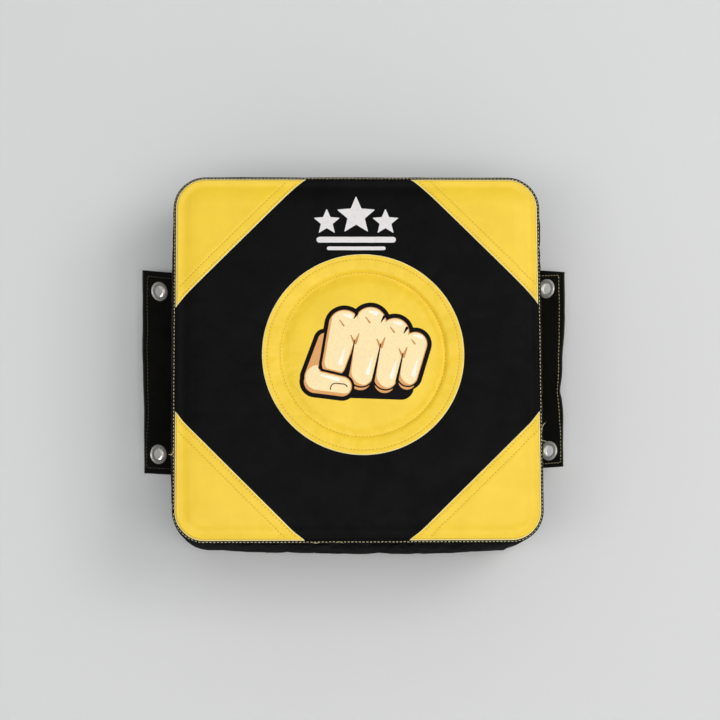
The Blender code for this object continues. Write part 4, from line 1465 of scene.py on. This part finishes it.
@once
def black_thread():
    return thread_finish("black_thread", (0.006, 0.006, 0.006), (0.020, 0.020, 0.020))


# The left flap's thread, darker than the right flap's pale thread.
@once
def darker_flap_thread():
    return thread_finish("darker_flap_thread", (0.06, 0.05, 0.02), (0.20, 0.17, 0.08))


@once
def nickel():
    """Bright plating with fine rubbed scratches and a few duller patches."""
    material, shader, node, link = tree_of("nickel_fine", (0.88, 0.86, 0.79), 0.36, metallic=0.5)
    place = node("TexCoord").outputs["Object"]
    patches = node("TexNoise", {"Vector": place, "Scale": 240.0, "Detail": 4.0})
    plate = shades(node, patches.outputs["Fac"], (0.80, 0.77, 0.67), (0.97, 0.95, 0.88), 0.3, 0.65)
    link(plate, shader.inputs["Base Color"])
    link(spread(node, patches.outputs["Fac"], 0.3, 0.7, 0.46, 0.28), shader.inputs["Roughness"])
    stretched = node("Mapping", {"Vector": place, "Scale": (1.0, 1.0, 9.0)})
    scratches = node("TexNoise", {"Vector": stretched.outputs["Vector"], "Scale": 900.0, "Detail": 2.0})
    emboss(node, link, shader, scratches.outputs["Fac"], 0.25, 0.03 * MM)
    return material


@once
def slider_metal():
    """Painted zinc, worn to bare metal here and there."""
    material, shader, node, link = tree_of("slider_metal", (0.12, 0.12, 0.125), 0.35, metallic=0.9)
    place = node("TexCoord").outputs["Object"]
    rubs = node("TexNoise", {"Vector": place, "Scale": 230.0, "Detail": 3.0, "Roughness": 0.5})
    paint = shades(node, rubs.outputs["Fac"], (0.10, 0.10, 0.105), (0.36, 0.35, 0.34), 0.45, 0.75)
    link(paint, shader.inputs["Base Color"])
    link(spread(node, rubs.outputs["Fac"], 0.4, 0.7, 0.45, 0.25), shader.inputs["Roughness"])
    emboss(node, link, shader, rubs.outputs["Fac"], 0.1, 0.03 * MM)
    return material


@once
def nylon():
    material, shader, node, link = tree_of("nylon_coil", (0.02, 0.02, 0.022), 0.38)
    place = node("TexCoord").outputs["Object"]
    streaks = node("TexNoise", {"Vector": place, "Scale": 1500.0, "Detail": 3.0})
    tint = shades(node, streaks.outputs["Fac"], (0.012, 0.012, 0.013), (0.035, 0.035, 0.038), 0.35, 0.65)
    link(tint, shader.inputs["Base Color"])
    emboss(node, link, shader, streaks.outputs["Fac"], 0.4, 0.03 * MM)
    return material


@once
def zip_weave():
    """Twill tape: slanted ribs about half a millimetre apart."""
    material, shader, node, link = tree_of("zip_weave", (0.015, 0.015, 0.016), 0.85, sheen=0.15)
    place = node("TexCoord").outputs["Object"]
    slanted = node("Mapping", {"Vector": place, "Rotation": (0.0, math.radians(32), 0.0)})
    ribs = node(
        "TexWave",
        {"Vector": slanted.outputs["Vector"], "Scale": 330.0, "Distortion": 1.2, "Detail": 2.0},
    )
    fuzz = node("TexNoise", {"Vector": place, "Scale": 2200.0, "Detail": 2.0})
    height = node("Math", {0: ribs.outputs["Fac"], 1: fuzz.outputs["Fac"]}, operation="ADD")
    # The tint follows the relief: darker between the ribs, painted shade in the grooves.
    tint = shades(node, height.outputs[0], (0.007, 0.007, 0.008), (0.028, 0.028, 0.030), 0.5, 1.5)
    link(tint, shader.inputs["Base Color"])
    emboss(node, link, shader, height.outputs[0], 0.7, 0.12 * MM)
    return material


def foam_finish(name, colour, cell):
    """Foam of round open cells of about the given size, darker inside each cell: painted shade in the cells'
    hollows, with tone that differs at random.
    """
    material, shader, node, link = tree_of(name, colour, 0.95, specular=0.2)
    place = node("TexCoord").outputs["Object"]
    cells = node("TexVoronoi", {"Vector": place, "Scale": 1 / cell})
    tint = node("TexNoise", {"Vector": place, "Scale": 30.0, "Detail": 3.0})
    shade = node("Math", {0: cells.outputs["Distance"], 1: tint.outputs["Fac"]}, operation="MULTIPLY")
    deep = [0.55 * c for c in colour]
    link(shades(node, shade.outputs[0], deep, colour, 0.02, 0.25), shader.inputs["Base Color"])
    emboss(node, link, shader, cells.outputs["Distance"], 0.8, 0.3 * cell)
    return material


def ink(name, colour):
    """Screen print: a thin film that keeps the cloth's grain and breaks up a little."""
    material, shader, node, link = tree_of(name, colour, 0.5, specular=0.06)
    place = node("TexCoord").outputs["Object"]
    film = node("TexNoise", {"Vector": place, "Scale": 500.0, "Detail": 3.0})
    thin, full = [0.95 * c for c in colour], [min(1, 1.02 * c) for c in colour]
    link(shades(node, film.outputs["Fac"], thin, full, 0.3, 0.6), shader.inputs["Base Color"])
    link(spread(node, film.outputs["Fac"], 0.3, 0.7, 0.6, 0.45), shader.inputs["Roughness"])
    emboss(node, link, shader, film.outputs["Fac"], 0.5, 0.05 * MM)
    return material


# ---------------------------------------------------------------- stage, light and camera

FACE_CENTRE = Vector((0, TARGET_LOW.y, 0))
CAMERA_DISTANCE = 2.5
CAMERA_AZIMUTH, CAMERA_ELEVATION = math.radians(-1.75), math.radians(-7.4)
CAMERA_ROLL = math.radians(-0.28)
CAMERA_LENS = 115.6
CAMERA_AIM = Vector((2.5 * MM, 0, -2.4 * MM))  # from the face's centre
WALL_Y = 3.5 * MM
FLOOR_Z = -1.15
PALE = (0.69, 0.69, 0.68)


def seen_through(name, colour):
    """A pale stage surface that shows only its front, and lets through what starts close behind the pad."""
    material, shader, node, link = tree_of(name, colour, 0.9, specular=0.1)
    path = node("LightPath")
    close = node("Math", {0: path.outputs["Ray Length"], 1: 0.03}, operation="LESS_THAN")
    behind = node("NewGeometry").outputs["Backfacing"]
    either = node("Math", {0: close.outputs[0], 1: behind}, operation="MAXIMUM")
    clear = node("BsdfTransparent")
    mix = node("MixShader", {"Fac": either.outputs[0], 1: shader.outputs[0], 2: clear.outputs[0]})
    output = material.node_tree.nodes["Material Output"]
    link(mix.outputs[0], output.inputs["Surface"])
    return material


def make_stage():
    """A wall behind the pad that curves out into a floor, for renders only."""
    bend = 0.35
    turn = np.linspace(0, math.pi / 2, 13)
    y = np.concatenate([[WALL_Y], WALL_Y - bend + bend * np.cos(turn), [WALL_Y - 6]])
    z = np.concatenate([[3.0], FLOOR_Z + bend - bend * np.sin(turn), [FLOOR_Z]])
    x = np.array([-5.0, 5.0])
    surface = Surface()
    surface.grid(np.stack(np.broadcast_arrays(x[None, :], y[:, None], z[:, None]), -1))
    stage = surface.make("backdrop", seen_through("pale_paint", PALE))


def add_area_light(name, place, aim, size, power, colour=(1, 1, 1)):
    light = bpy.data.lights.new(name, "AREA")
    light.shape = "RECTANGLE"
    light.size, light.size_y = size
    light.energy = power
    light.color = colour
    lamp = bpy.data.objects.new(name, light)
    lamp.location = place
    lamp.rotation_mode = "QUATERNION"
    lamp.rotation_quaternion = (Vector(aim) - Vector(place)).to_track_quat("-Z", "Y")
    bpy.context.scene.collection.objects.link(lamp)


def make_lights():
    add_area_light("key", (1.8, -2.8, 0.7), (0, 0, 0), (1.5, 1.5), 29, (1.0, 0.995, 0.98))
    add_area_light("front", (-0.2, -3.4, -1.1), (0, 0, 0), (4.4, 2.0), 103)
    add_area_light("rear_key", (-1.4, 2.2, 1.5), (0, 0, 0), (1.6, 1.6), 130)
    add_area_light("rear_fill", (1.8, 1.8, 0.2), (0, 0, 0), (1.6, 1.6), 70)
    world = bpy.data.worlds.new("studio")
    world.use_nodes = True
    world.node_tree.nodes["Background"].inputs["Color"].default_value = (0.93, 0.95, 1.0, 1)
    world.node_tree.nodes["Background"].inputs["Strength"].default_value = 0.49
    bpy.context.scene.world = world


def make_camera():
    data = bpy.data.cameras.new("camera")
    data.lens = CAMERA_LENS
    data.sensor_width = 36
    camera = bpy.data.objects.new("camera", data)
    bpy.context.scene.collection.objects.link(camera)
    away = Vector(
        (
            math.sin(CAMERA_AZIMUTH) * math.cos(CAMERA_ELEVATION),
            -math.cos(CAMERA_AZIMUTH) * math.cos(CAMERA_ELEVATION),
            math.sin(CAMERA_ELEVATION),
        )
    )
    camera.location = FACE_CENTRE + away * CAMERA_DISTANCE
    aim = FACE_CENTRE + CAMERA_AIM
    camera.rotation_mode = "QUATERNION"
    level = (aim - camera.location).to_track_quat("-Z", "Y")
    camera.rotation_quaternion = level @ Quaternion((0, 0, 1), CAMERA_ROLL)
    bpy.context.scene.camera = camera


# ---------------------------------------------------------------- putting it together

PATCH_CORNERS = {
    "corner_patch_top_left": (-1, 1),
    "corner_patch_top_right": (1, 1),
    "corner_patch_bottom_left": (-1, -1),
    "corner_patch_bottom_right": (1, -1),
}

pad_pieces = [make_front_panel()]
for name, side in PATCH_CORNERS.items():
    pad_pieces += make_corner_patch(side, name)
pad_pieces += make_target()
pad_pieces += make_lip()
pad_pieces += print_fist() + print_mark()
pad_pieces += make_band() + make_rear_seam() + make_foams()
for word, side in (("left", -1), ("right", 1)):
    pad_pieces += make_back_panel(word, side) + make_zip_half(word, side)
    flap = Flap(word, side)
    make_flap(flap)
    make_grommets(flap)
dress_slider()
for piece in pad_pieces:
    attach(piece, "pad")

make_stage()
make_lights()
make_camera()
bpy.context.scene.view_settings.view_transform = "Standard"
